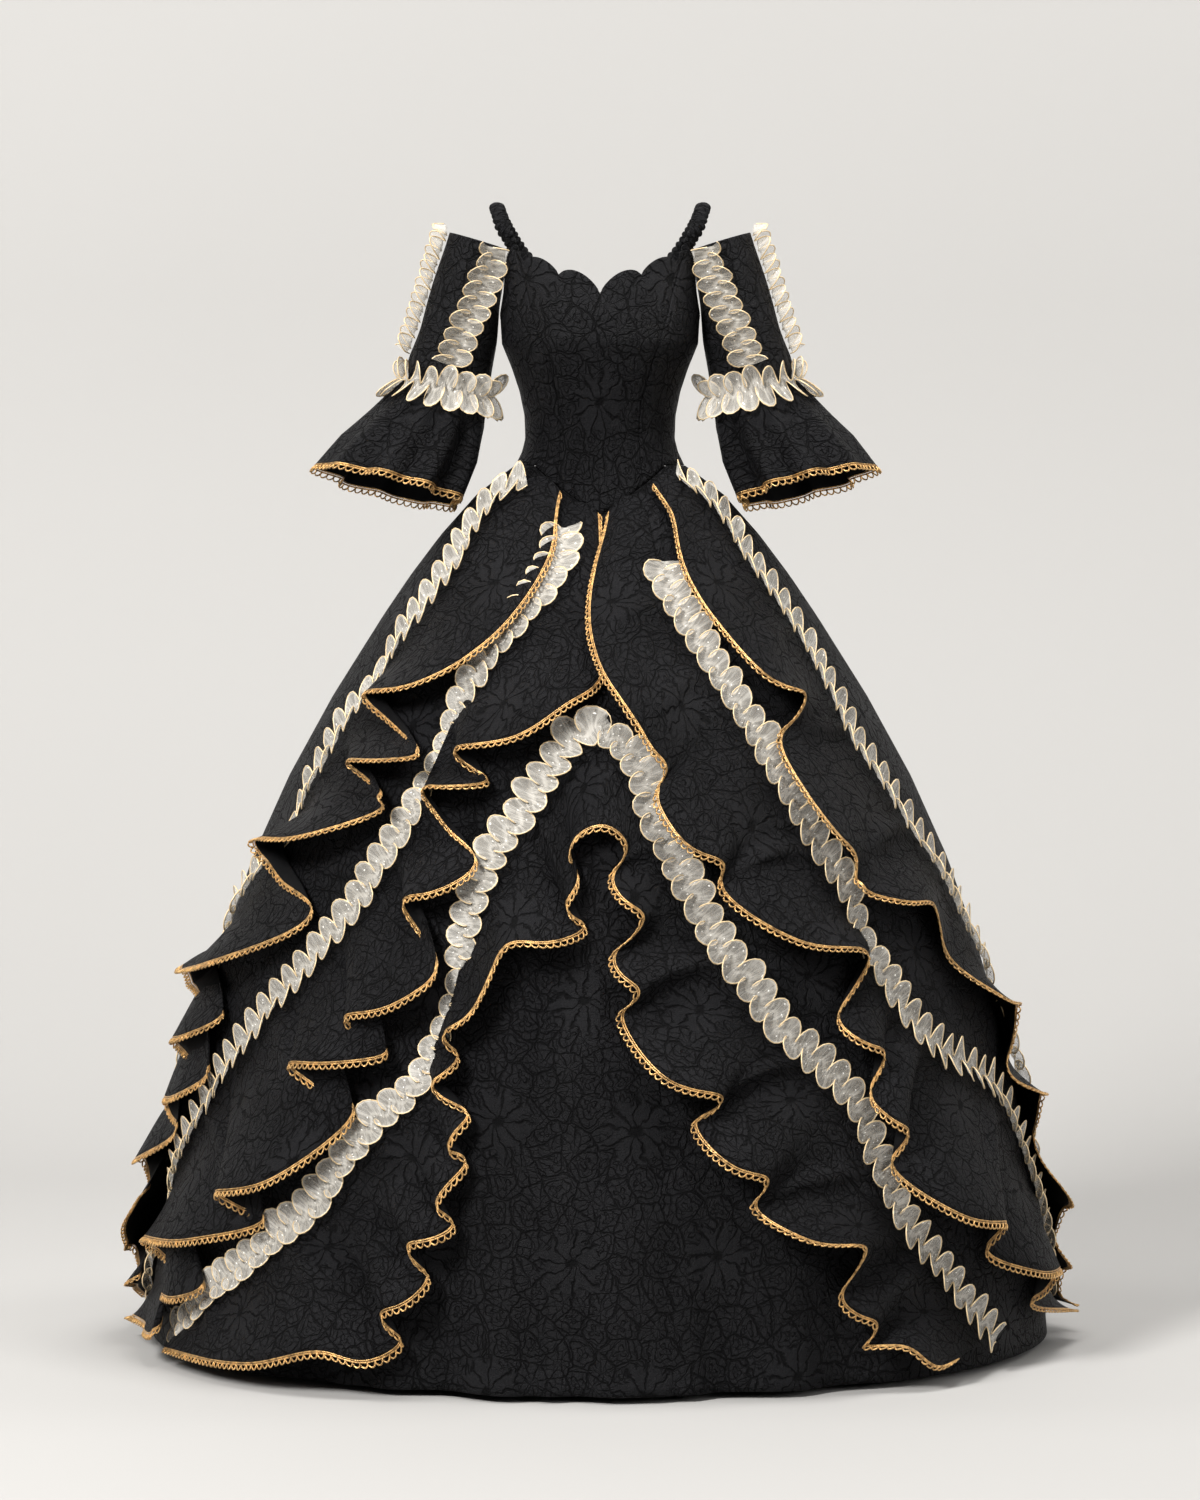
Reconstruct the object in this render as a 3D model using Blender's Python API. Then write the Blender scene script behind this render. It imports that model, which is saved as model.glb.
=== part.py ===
"""Black jacquard ball gown with cascading flounces, gold braid and organza ruches, as closed cloth solids.

Metres, +Z up, front along -Y, +X the wearer's left. The origin is the centre of the waist.
Tables give heights above the floor; WAIST_HEIGHT is taken off when a solid is made.
Skirt points are given as azimuth (degrees from the front, + towards the wearer's left), height and stand-out
(millimetres off the base skirt).
"""

import math

import bpy
import numpy as np

WAIST_HEIGHT = 1.10
CLOTH = 0.0015
BRAID_CLOTH = 0.0012
ORGANZA = 0.0010
SEAM_GAP = 0.0003
LOWEST = 0.006

# Base skirt, columns: height m, radius m
SKIRT_SECTIONS = [
    (1.087, 0.105),
    (1.050, 0.153),
    (1.000, 0.198),
    (0.950, 0.236),
    (0.900, 0.270),
    (0.800, 0.333),
    (0.700, 0.388),
    (0.600, 0.433),
    (0.500, 0.468),
    (0.400, 0.497),
    (0.300, 0.520),
    (0.200, 0.540),
    (0.100, 0.552),
    (0.000, 0.560),
]
SKIRT_TOP = 1.087
WAIST_V_DROP = 0.062
WAIST_V_REACH = 50.0
DEPTH_AT_WAIST = 0.95
DEPTH_FULL_BELOW = 0.70

# Soft folds of the base skirt, columns: azimuth deg, half width deg, depth at the hem mm
SKIRT_FOLDS = [
    (-20, 4.5, 24),
    (17, 4.0, 18),
    (31, 5.0, 16),
    (-37, 5.5, 14),
    (-124, 6.0, 22),
    (-141, 6.5, 20),
    (-158, 6.0, 24),
    (-175, 6.0, 22),
    (168, 6.0, 24),
    (151, 6.5, 20),
    (134, 6.0, 24),
    (119, 6.0, 20),
]
FOLDS_START = 0.80

# Bodice, columns: height m, half width m, front depth m, back depth m
BODICE_SECTIONS = [
    (1.087, 0.105, 0.0998, 0.0998),
    (1.104, 0.097, 0.093, 0.090),
    (1.120, 0.093, 0.090, 0.084),
    (1.149, 0.094, 0.094, 0.084),
    (1.179, 0.100, 0.104, 0.088),
    (1.209, 0.110, 0.118, 0.093),
    (1.238, 0.122, 0.128, 0.098),
    (1.270, 0.124, 0.125, 0.100),
    (1.300, 0.123, 0.114, 0.100),
    (1.330, 0.124, 0.102, 0.098),
    (1.360, 0.126, 0.092, 0.095),
]
# Top edge with its scallops, same both sides, columns: azimuth deg, height m
NECKLINE = [
    (0, 1.296),
    (7, 1.316),
    (13, 1.324),
    (19, 1.324),
    (24, 1.319),
    (29, 1.333),
    (36, 1.342),
    (43, 1.343),
    (49, 1.335),
    (55, 1.344),
    (61, 1.353),
    (66, 1.354),
    (72, 1.318),
    (79, 1.286),
    (90, 1.272),
    (110, 1.280),
    (130, 1.308),
    (141, 1.320),
    (155, 1.312),
    (180, 1.306),
]
# Princess seam between the front and the side front, columns: share of the height, azimuth deg
PRINCESS_SEAM = [(0.0, 31.0), (0.35, 32.0), (0.60, 37.0), (0.80, 46.0), (1.0, 57.0)]

# Ruched strap on the wearer's left, columns: x m, y m, height m, turn of its flat side deg
STRAP_PATH = [
    (0.1045, -0.0365, 1.3440, 62),
    (0.1110, -0.0420, 1.3620, 48),
    (0.1190, -0.0430, 1.3780, 25),
    (0.1250, -0.0300, 1.3960, 8),
    (0.1280, -0.0080, 1.4070, 0),
    (0.1270, 0.0180, 1.4050, 0),
    (0.1210, 0.0440, 1.3900, -10),
    (0.1040, 0.0640, 1.3620, -25),
    (0.0850, 0.0705, 1.3380, -40),
    (0.0715, 0.0695, 1.3110, -42),
]
STRAP_HALF_WIDTH = 0.0090
STRAP_HALF_DEPTH = 0.0055

# Sleeve tube on the wearer's right, columns: centre height m, centre x m, half width m, half depth m,
# tilt in x
SLEEVE_SECTIONS = [
    (1.366, -0.1524, 0.0345, 0.040, -0.30),
    (1.330, -0.1594, 0.0395, 0.043, -0.26),
    (1.290, -0.1680, 0.0430, 0.046, -0.22),
    (1.249, -0.1770, 0.0470, 0.049, -0.20),
    (1.215, -0.1860, 0.0500, 0.051, -0.20),
    (1.183, -0.1920, 0.0515, 0.052, -0.20),
]
# Bell flounce of the sleeve, columns: centre height m, centre x m, half width m, half depth m, tilt in x,
# tilt in y, centre y m
BELL_SECTIONS = [
    (1.143, -0.2110, 0.0730, 0.0700, -0.17, -0.06, -0.004),
    (1.102, -0.2320, 0.0890, 0.0810, -0.22, -0.12, -0.012),
    (1.054, -0.2580, 0.1000, 0.0900, -0.236, -0.185, -0.024),
]
# Folds of the bell, columns: angle deg from the front towards the outer side, half width deg,
# depth at the hem mm
BELL_FOLDS = [
    (-98, 32, 26),
    (-44, 11, 20),
    (-12, 11, 12),
    (28, 11, 14),
    (118, 14, 18),
    (165, 13, 22),
    (-150, 12, 16),
]
LEFT_BELL_NARROWER = 0.0055

# Strips of organza on the sleeve, columns: angle deg from the front towards the outer side, height m
SLEEVE_FRONT_STRIP = [(-31, 1.362), (-25, 1.340), (-16, 1.305), (-7, 1.255), (-3, 1.211)]
SLEEVE_OUTER_STRIP = [(84, 1.376), (84, 1.340), (85, 1.300), (86, 1.255), (88, 1.216)]
ELBOW_BAND_HEIGHT = 1.184
RUCHE_HALF_WIDTH = 0.021
STRIP_HALF_WIDTH = 0.019
STRIP_LIFT = 0.0027
SEAM_RUCHE_WAVE = 0.0035
STRIP_WAVE = 0.0060
BAND_WAVE = 0.0090

# Top seams of the three tiers, columns: azimuth deg, height m, from the waist or the arch down to the floor
SEAM_1_RIGHT = [
    (-44, 1.074), (-49, 1.050), (-51, 1.020), (-50, 0.975), (-52, 0.915), (-56, 0.860),
    (-59, 0.800), (-60, 0.750), (-64, 0.665), (-72, 0.570), (-86, 0.440), (-95, 0.330),
    (-102, 0.200), (-107, 0.100), (-110, 0.030),
]
SEAM_1_LEFT = [
    (46, 1.076), (52, 1.050), (54, 1.020), (53, 0.985), (55, 0.940), (57, 0.880),
    (57, 0.800), (59, 0.730), (63, 0.670), (69, 0.600), (78, 0.480), (86, 0.380),
    (92, 0.290), (98, 0.200), (104, 0.100), (108, 0.030),
]
SEAM_2_RIGHT = [
    (-19, 1.042), (-15, 0.970), (-21, 0.905), (-27, 0.850), (-30, 0.790), (-32, 0.720),
    (-34, 0.650), (-37, 0.600), (-42, 0.530), (-47, 0.480), (-52, 0.440), (-58, 0.385),
    (-65, 0.320), (-71, 0.250), (-77, 0.160), (-82, 0.090), (-86, 0.030),
]
SEAM_2_LEFT = [
    (24, 1.050), (20, 0.960), (22, 0.905), (25, 0.860), (28, 0.810), (31, 0.765),
    (34, 0.700), (37, 0.640), (41, 0.570), (43, 0.515), (46, 0.445), (53, 0.388),
    (63, 0.350), (71, 0.300), (78, 0.200), (85, 0.100), (90, 0.030),
]
SEAM_3_RIGHT = [
    (0, 0.768), (-5, 0.757), (-10, 0.710), (-14, 0.660), (-17, 0.630), (-19, 0.585),
    (-20, 0.530), (-21, 0.470), (-23, 0.405), (-25, 0.360), (-30, 0.320), (-34, 0.275),
    (-38, 0.215), (-44, 0.175), (-49, 0.140), (-61, 0.067), (-68, 0.030),
]
SEAM_3_LEFT = [
    (0, 0.768), (5, 0.750), (8, 0.710), (9, 0.665), (12, 0.620), (14, 0.580),
    (17, 0.530), (21, 0.480), (25, 0.425), (30, 0.385), (35, 0.335), (38, 0.260),
    (41, 0.190), (47, 0.135), (52, 0.080), (57, 0.030),
]

# Free edges of the tiers, from the top down. A row of three is a plain point: azimuth deg, height m,
# stand-out mm. A row of five is one fold: outer turn azimuth and height, inner turn azimuth and height,
# stand-out of its front mm.
EDGE_1_RIGHT = [
    (-21, 1.043, 7),
    (-15, 0.985, 12),
    (-18, 0.925, 22),
    (-26, 0.858, 36),
    (-51, 0.805, -29, 0.742, 60),
    (-48, 0.728, -34, 0.690, 55),
    (-66, 0.625, -46, 0.548, 65),
    (-88, 0.455, -63, 0.417, 58),
    (-80, 0.370, -62, 0.352, 46),
    (-78, 0.298, -70, 0.275, 40),
    (-90, 0.212, -76, 0.188, 50),
    (-92, 0.098, -80, 0.080, 46),
    (-95, 0.046, 36),
    (-100, 0.028, 34),
]
EDGE_1_LEFT = [
    (28, 1.052, 8),
    (28, 1.020, 10),
    (24, 0.970, 18),
    (25, 0.925, 26),
    (29, 0.875, 34),
    (34, 0.825, 44),
    (43, 0.812, 34, 0.760, 50),
    (41, 0.616, 41, 0.580, 50),
    (56, 0.556, 60, 0.488, 48),
    (78, 0.420, 70, 0.345, 50),
    (84, 0.305, 77, 0.255, 46),
    (91, 0.152, 86, 0.118, 48),
    (94, 0.072, 90, 0.030, 40),
]
EDGE_2_RIGHT = [
    (2, 1.018, 6),
    (2, 0.920, 10),
    (1, 0.820, 18),
    (-5, 0.795, 42),
    (-26, 0.744, -18, 0.707, 56),
    (-30, 0.700, -18, 0.612, 58),
    (-29, 0.566, -21, 0.490, 52),
    (-35, 0.429, -27, 0.388, 56),
    (-43, 0.371, -32, 0.322, 56),
    (-52, 0.212, -44, 0.185, 62),
    (-74, 0.136, -54, 0.099, 50),
    (-66, 0.070, -61, 0.036, 38),
    (-86, 0.022, 42),
]
EDGE_2_LEFT = [
    (2, 1.018, 10),
    (-3, 0.960, 18),
    (-4, 0.900, 28),
    (-1, 0.840, 36),
    (3, 0.800, 44),
    (7, 0.758, 40),
    (11, 0.727, 8, 0.698, 40),
    (18, 0.613, 17, 0.590, 52),
    (39, 0.503, 33, 0.425, 58),
    (39, 0.385, 36, 0.335, 48),
    (41, 0.291, 38, 0.255, 46),
    (56, 0.170, 54, 0.138, 58),
    (74, 0.093, 66, 0.068, 48),
    (84, 0.034, 44),
]
EDGE_3_RIGHT = [
    (-4, 0.642, 34),
    (-5, 0.622, 22),
    (-3, 0.602, 16),
    (-5, 0.566, -1, 0.538, 36),
    (-6, 0.520, 50),
    (-12, 0.522, 55),
    (-14, 0.482, 50),
    (-21, 0.420, -18, 0.392, 44),
    (-22, 0.360, -16, 0.325, 38),
    (-19, 0.300, -16, 0.270, 30),
    (-20, 0.236, -17, 0.196, 30),
    (-23, 0.172, -20, 0.138, 38),
    (-26, 0.090, -23, 0.060, 38),
    (-27, 0.030, 36),
    (-32, 0.042, 52),
    (-42, 0.018, 58),
    (-62, 0.016, 42),
]
EDGE_3_LEFT = [
    (3, 0.642, 34),
    (4, 0.622, 22),
    (1, 0.604, 14),
    (6, 0.557, 1, 0.512, 42),
    (5, 0.472, 2, 0.448, 38),
    (15, 0.345, 11, 0.322, 54),
    (20, 0.252, 18, 0.226, 50),
    (32, 0.172, 29, 0.108, 56),
    (34, 0.078, 32, 0.052, 32),
    (37, 0.050, 42),
    (40, 0.022, 50),
    (45, 0.029, 41),
]
EDGE_3_TOP = (0, 0.656, 40)

FRONT_SWING = 0.44
FRONT_FALL = 0.80
FOLD_BACK = 24.0

# How far the top of each tier stands off the skirt's crests and its ruche's middle off the tier, columns:
# tier, seam stand-out mm, ruche lift mm
SEWN_ON = {
    "1_right": (2.2, 3.3),
    "1_left": (0.8, -1.3),
    "2_right": (3.7, 1.0),
    "2_left": (2.4, -1.1),
    "3": (0.8, -1.3),
}
STAND_OUT_POWER = 1.4
EDGE_STEP = 0.055
FLOUNCE_ROWS = (0.0, 0.5)
SEAM_EVENNESS = 0.06
SEAM_SMOOTHING = 12
BRAID_WIDTH = 0.011
MOST_MITRE = 2.0
LAYER_CLEARANCE = 0.0022
LAYER_FULL = 0.026
LAYER_FADE = 0.070
LAYER_KEEP = 0.5
LAYER_ROWS = 7
LAYER_COLUMNS = 4
RUCHE_FULL = 0.016
RUCHE_FADE = 0.034
RUCHE_STEPS = 4

BLACK = ("black_jacquard", (0.018, 0.018, 0.020), 0.62, 0.0)
GOLD = ("gold_braid", (0.60, 0.36, 0.13), 0.38, 0.55)
IVORY = ("ivory_organza", (0.78, 0.73, 0.64), 0.50, 0.0)


def table_value(table, at, column):
    """Value of a column where the table's first column equals at, straight between its rows."""
    rows = sorted(table)
    return np.interp(at, [row[0] for row in rows], [row[column] for row in rows])


def waist_height(azimuth):
    """Height of the waist seam, which drops to a V at the front."""
    return SKIRT_TOP - WAIST_V_DROP * np.clip(1.0 - np.abs(azimuth) / WAIST_V_REACH, 0.0, 1.0)


def turn_apart(azimuth, centre):
    return (azimuth - centre + 180.0) % 360.0 - 180.0


def smooth_radius(azimuth, height):
    """Radius of the skirt over the crests of its folds."""
    drop = (SKIRT_TOP - FOLDS_START) / (waist_height(azimuth) - FOLDS_START)
    level = np.where(height > FOLDS_START, FOLDS_START + (height - FOLDS_START) * drop, height)
    return table_value(SKIRT_SECTIONS, level, 1)


def fold_depth(azimuth, height):
    """How deep the base skirt's folds lie under their crests, in m."""
    strength = np.clip((FOLDS_START - height) / FOLDS_START, 0.0, 1.0)
    depth = 0.0 * strength
    for centre, half_width, hem_depth in SKIRT_FOLDS:
        share = turn_apart(azimuth, centre) / half_width
        depth = depth + strength * hem_depth / 1000.0 * np.exp(-share * share)
    return depth


def skirt_point(azimuth, height, stand_out):
    """Points at an azimuth in degrees, a height above the floor and a stand-out in mm off the skirt."""
    radius = smooth_radius(azimuth, height) + stand_out / 1000.0
    slope = (1.0 - DEPTH_AT_WAIST) / (SKIRT_TOP - DEPTH_FULL_BELOW)
    depth = 1.0 - slope * np.clip(height - DEPTH_FULL_BELOW, 0.0, None)
    angle = np.radians(azimuth)
    return np.stack(
        [radius * np.sin(angle), -radius * depth * np.cos(angle), np.maximum(height, LOWEST)], axis=-1
    )


def smooth_course(rows, place):
    """A function of the way along a smooth curve through the rows; place turns rows into points."""
    rows = np.array(rows, float)
    steps = np.linalg.norm(np.diff(place(rows), axis=0), axis=1)
    knots = np.concatenate([[0.0], np.cumsum(np.sqrt(steps))])
    slopes = np.gradient(rows, knots, axis=0)

    def at(knot):
        knot = np.clip(knot, 0.0, knots[-1])
        i = np.clip(np.searchsorted(knots, knot, side="right") - 1, 0, len(rows) - 2)
        gap = (knots[i + 1] - knots[i])[:, None]
        t = ((knot - knots[i])[:, None]) / gap
        return (
            (2 * t**3 - 3 * t**2 + 1) * rows[i]
            + (t**3 - 2 * t**2 + t) * gap * slopes[i]
            + (3 * t**2 - 2 * t**3) * rows[i + 1]
            + (t**3 - t**2) * gap * slopes[i + 1]
        )

    return at, knots, steps


def along(rows, place, step):
    """Values along the smooth curve, each stretch between two rows cut into equal steps."""
    at, knots, lengths = smooth_course(rows, place)
    stops = [knots[0]]
    for start, end, length in zip(knots, knots[1:], lengths):
        count = max(1, round(length / step))
        stops += [start + (end - start) * (i + 1) / count for i in range(count)]
    return at(np.array(stops))


def on_skirt(rows):
    stand_out = rows[:, 2] if rows.shape[1] > 2 else 0.0 * rows[:, 0]
    return skirt_point(rows[:, 0], rows[:, 1], stand_out)


def edge_points(table, start=None):
    """Rows of azimuth, height and stand-out for a free edge. Each fold drops and swings out to its outer
    turn, then tucks back under itself to its inner turn."""
    rows = [start] if start else []
    for row in table:
        if len(row) == 3:
            rows.append(row)
            continue
        outer, outer_height, inner, inner_height, stand_out = row
        last, last_height = rows[-1][:2]
        rows.append(
            (
                last + (outer - last) * FRONT_SWING,
                last_height + (outer_height - last_height) * FRONT_FALL,
                stand_out,
            )
        )
        rows.append((outer, outer_height, 0.80 * stand_out))
        rows.append((0.5 * (outer + inner), 0.5 * (outer_height + inner_height) + 0.014, FOLD_BACK))
        rows.append((inner, inner_height, 0.30 * stand_out))
    return rows


def rising(values):
    """The closest list to values that never falls, by pooling neighbours that do."""
    pools = []
    for value in values:
        pools.append([value, 1])
        while len(pools) > 1 and pools[-2][0] > pools[-1][0]:
            top = pools.pop()
            under = pools.pop()
            count = top[1] + under[1]
            pools.append([(top[0] * top[1] + under[0] * under[1]) / count, count])
    return np.concatenate([np.full(count, value) for value, count in pools])


def matched_seam(seam, edge, stand_out):
    """For each point of the edge, the point of the seam its cloth hangs from."""
    fine = along(seam, on_skirt, 0.010)
    fine = np.column_stack([fine, np.full(len(fine), stand_out)])
    fine_points = on_skirt(fine)
    flat = on_skirt(np.column_stack([edge[:, :2], np.full(len(edge), stand_out)]))
    apart = np.linalg.norm(flat[:, None] - fine_points[None], axis=2)
    nearest = rising(apart.argmin(axis=1) / (len(fine) - 1.0))
    for _ in range(SEAM_SMOOTHING):
        ends = np.concatenate([[2 * nearest[0] - nearest[1]], nearest, [2 * nearest[-1] - nearest[-2]]])
        nearest = (ends[:-2] + ends[1:-1] + ends[2:]) / 3.0
    walked = np.concatenate([[0.0], np.cumsum(np.linalg.norm(np.diff(on_skirt(edge), axis=0), axis=1))])
    share = (1.0 - SEAM_EVENNESS) * nearest + SEAM_EVENNESS * walked / walked[-1]
    share = (share - share[0]) / (share[-1] - share[0])
    places = share * (len(fine) - 1.0)
    return np.stack([np.interp(places, range(len(fine)), fine[:, i]) for i in range(3)], axis=1)


def between(grid, rows_each, columns_each):
    """The grid with each of its cells cut into more rows and columns, straight between its own points."""
    row = np.arange((grid.shape[0] - 1) * rows_each + 1) / rows_each
    column = np.arange((grid.shape[1] - 1) * columns_each + 1) / columns_each
    i = np.minimum(row.astype(int), grid.shape[0] - 2)
    j = np.minimum(column.astype(int), grid.shape[1] - 2)
    down = (row - i)[:, None, None]
    across = (column - j)[None, :, None]
    upper = grid[i][:, j] * (1.0 - across) + grid[i][:, j + 1] * across
    lower = grid[i + 1][:, j] * (1.0 - across) + grid[i + 1][:, j + 1] * across
    return upper * (1.0 - down) + lower * down


class Layers:
    """The cloth laid on the skirt so far, as azimuth, height and stand-out of its outer face."""

    def __init__(self):
        self.rows = np.zeros((0, 3))

    def add(self, grid, rows_each, columns_each):
        self.rows = np.concatenate([self.rows, between(grid, rows_each, columns_each).reshape(-1, 3)])

    def height_of(self, azimuth, height, full, faded):
        """How far the cloth underneath pushes out what is laid over it, in mm."""
        if not len(self.rows):
            return np.zeros_like(azimuth)
        here = np.stack([azimuth.ravel(), height.ravel()], axis=1)
        radius = smooth_radius(here[:, 0], here[:, 1])
        across = np.radians(here[:, None, 0] - self.rows[None, :, 0]) * radius[:, None]
        away = np.hypot(across, 1.15 * (here[:, None, 1] - self.rows[None, :, 1]))
        fade = np.clip((faded - away) / (faded - full), 0.0, 1.0)
        fade = fade * fade * (3.0 - 2.0 * fade)
        push = fade * (self.rows[None, :, 2] + 1000.0 * LAYER_CLEARANCE)
        return push.max(axis=1).reshape(azimuth.shape)

    def laid_over(self, grid):
        """The grid pushed out where there is cloth under it; its own folds keep part of their depth."""
        under = self.height_of(grid[..., 0], grid[..., 1], LAYER_FULL, LAYER_FADE)
        raised = np.where(under > 0.0, under + LAYER_KEEP * grid[..., 2], 0.0)
        moved = grid.copy()
        moved[..., 2] = np.maximum(grid[..., 2], raised)
        return moved


def flounce_grid(seam, edge, stand_out):
    """Azimuth, height and stand-out of a flounce, in rows from its seam to its braid's two edges."""
    seam = matched_seam(seam, edge, stand_out)
    width = np.linalg.norm(on_skirt(edge) - on_skirt(seam), axis=1)
    shares = [np.full(len(edge), share) for share in FLOUNCE_ROWS]
    shares += [1.0 - BRAID_WIDTH / width, np.ones(len(edge))]
    grid = []
    for share in shares:
        line = seam + (edge - seam) * share[:, None]
        line[:, 2] = seam[:, 2] + (edge[:, 2] - seam[:, 2]) * share**STAND_OUT_POWER
        grid.append(line)
    return np.array(grid)


def face_normals(points, closed):
    """Normals of a grid, longer at a turn between two columns, so that the cloth keeps its thickness. The
    last two rows, between which a braid lies, share theirs."""
    down = np.gradient(points, axis=0)
    down[-2] = down[-1]
    steps = np.diff(points, axis=1, append=points[:, :1])
    if not closed:
        steps[:, -1] = steps[:, -2]
    before = np.roll(steps, 1, axis=1)
    if not closed:
        before[:, 0] = steps[:, 0]
    first = np.cross(before, down)
    first /= np.linalg.norm(first, axis=2, keepdims=True)
    second = np.cross(steps, down)
    second /= np.linalg.norm(second, axis=2, keepdims=True)
    normals = first + second
    normals /= np.linalg.norm(normals, axis=2, keepdims=True)
    normals /= np.maximum((normals * first).sum(axis=2, keepdims=True), 1.0 / MOST_MITRE)
    normals[-2:] = 0.5 * (normals[-2] + normals[-1])
    return normals


def outward(normals, points):
    """The normals, turned to face away from the garment's middle on the whole."""
    facing = (normals * (points - points.mean(axis=(0, 1)) * 0.5)).sum()
    return normals if facing > 0 else -normals


def material(look):
    name, colour, roughness, metallic = look
    found = bpy.data.materials.get(name)
    if found:
        return found
    made = bpy.data.materials.new(name)
    made.use_nodes = True
    shader = made.node_tree.nodes["Principled BSDF"]
    shader.inputs["Base Color"].default_value = (*colour, 1.0)
    shader.inputs["Roughness"].default_value = roughness
    shader.inputs["Metallic"].default_value = metallic
    return made


def solid(name, points, faces, flat_from, look):
    """One named object; faces before flat_from are shaded smooth, those after it, the cut edges, flat."""
    corners = np.array([points[list(face[:3])] for face in faces])
    fourth = np.array([points[face[-1]] for face in faces])
    volume = np.einsum("ij,ij->i", corners[:, 0], np.cross(corners[:, 1], corners[:, 2])).sum()
    volume += np.einsum("ij,ij->i", corners[:, 0], np.cross(corners[:, 2], fourth)).sum()
    if volume < 0:
        faces = [tuple(reversed(face)) for face in faces]
    mesh = bpy.data.meshes.new(name)
    mesh.from_pydata([tuple(p) for p in points - np.array([0.0, 0.0, WAIST_HEIGHT])], [], faces)
    for i, polygon in enumerate(mesh.polygons):
        polygon.use_smooth = i < flat_from
    mesh.materials.append(material(look))
    made = bpy.data.objects.new(name, mesh)
    bpy.context.scene.collection.objects.link(made)
    return made


def wall(name, points, thickness, look, closed=False, normals=None):
    """A cloth wall of even thickness round a grid of points, closed into a tube where asked."""
    rows, columns = points.shape[:2]
    if normals is None:
        normals = outward(face_normals(points, closed), points)
    offset = 0.5 * thickness * normals
    corners = np.concatenate([(points + offset).reshape(-1, 3), (points - offset).reshape(-1, 3)])
    inner = rows * columns
    span = columns if closed else columns - 1

    def at(row, column, side):
        return side * inner + row * columns + column % columns

    faces = []
    for row in range(rows - 1):
        for column in range(span):
            a, b = at(row, column, 0), at(row, column + 1, 0)
            c, d = at(row + 1, column + 1, 0), at(row + 1, column, 0)
            faces += [(a, b, c), (a, c, d)]
            faces += [(c + inner, b + inner, a + inner), (d + inner, c + inner, a + inner)]
    flat_from = len(faces)
    for column in range(span):
        a, b = at(0, column, 0), at(0, column + 1, 0)
        faces += [(a, a + inner, b + inner), (a, b + inner, b)]
        a, b = at(rows - 1, column, 0), at(rows - 1, column + 1, 0)
        faces += [(b, b + inner, a), (b + inner, a + inner, a)]
    if not closed:
        for row in range(rows - 1):
            a, b = at(row, 0, 0), at(row + 1, 0, 0)
            faces.append((b, b + inner, a + inner, a))
            a, b = at(row, columns - 1, 0), at(row + 1, columns - 1, 0)
            faces.append((a, a + inner, b + inner, b))
    return solid(name, corners, faces, flat_from, look)


def skirt_normals(grid):
    """Directions straight out of the skirt."""
    azimuth = np.radians(grid[..., 0])
    lean = smooth_radius(grid[..., 0], grid[..., 1] - 0.02) - smooth_radius(grid[..., 0], grid[..., 1])
    lean = lean / 0.02
    normals = np.stack([np.sin(azimuth), -np.cos(azimuth), lean], axis=-1)
    return normals / np.linalg.norm(normals, axis=-1, keepdims=True)


def edged(name, braid_name, points, closed=False):
    """A piece of cloth and, past the last row but one, the braid sewn to its edge."""
    normals = outward(face_normals(points, closed), points)
    cloth = points[:-1].copy()
    back = cloth[-1] - points[-1]
    cloth[-1] += back * 2.0 * SEAM_GAP / np.linalg.norm(back, axis=1, keepdims=True)
    wall(name, cloth, CLOTH, BLACK, closed, normals[:-1])
    wall(braid_name, points[-2:], BRAID_CLOTH, GOLD, closed, normals[-2:])


def ruche_shape(count, waves, lift, height):
    """Half width and lift of a ruche at each step, its two edges in turn, as lobes alternate side to side."""
    phase = 2.0 * math.pi * waves * np.arange(count) / (count - 1.0)
    wide = np.array([1.0 + 0.22 * np.sin(phase), 0.0 * phase, 1.0 - 0.22 * np.sin(phase)])
    wave = 1.0 + np.array([np.cos(phase), -1.0 + 0.0 * phase, -np.cos(phase)])
    return wide * np.array([[-1.0], [0.0], [1.0]]), lift + height * wave


def seam_ruche(name, seam, waves, lift, layers):
    """The gathered organza ribbon sewn down over a tier's seam; it is added to the layers."""
    at, knots, lengths = smooth_course(seam, on_skirt)
    fine = at(np.linspace(0.0, knots[-1], 600))
    walked = np.concatenate([[0.0], np.cumsum(np.linalg.norm(np.diff(on_skirt(fine), axis=0), axis=1))])
    count = waves * RUCHE_STEPS + 1
    places = np.linspace(0.004, walked[-1] - 0.004, count)
    path = np.stack([np.interp(places, walked, fine[:, i]) for i in range(2)], axis=1)
    radius = smooth_radius(path[:, 0], path[:, 1])
    slope = 1.2
    run = np.stack([np.radians(path[:, 0]) * radius, path[:, 1] * slope], axis=1)
    run = np.gradient(run, axis=0)
    run /= np.linalg.norm(run, axis=1, keepdims=True)
    wide, lift = ruche_shape(count, waves, lift, SEAM_RUCHE_WAVE)
    across = wide[..., None] * RUCHE_HALF_WIDTH * np.stack([-run[:, 1], run[:, 0]], axis=1)
    azimuth = path[:, 0] + np.degrees(across[..., 0] / radius)
    height = np.minimum(path[:, 1] + across[..., 1] / slope, waist_height(azimuth) - 0.004)
    under = layers.height_of(azimuth, height, RUCHE_FULL, RUCHE_FADE)
    grid = np.stack([azimuth, height, under + 1000.0 * lift], axis=2)
    points = skirt_point(grid[..., 0], grid[..., 1], grid[..., 2])
    wall(name, points, ORGANZA, IVORY, False, skirt_normals(grid))
    layers.add(grid, 2, 1)


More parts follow.
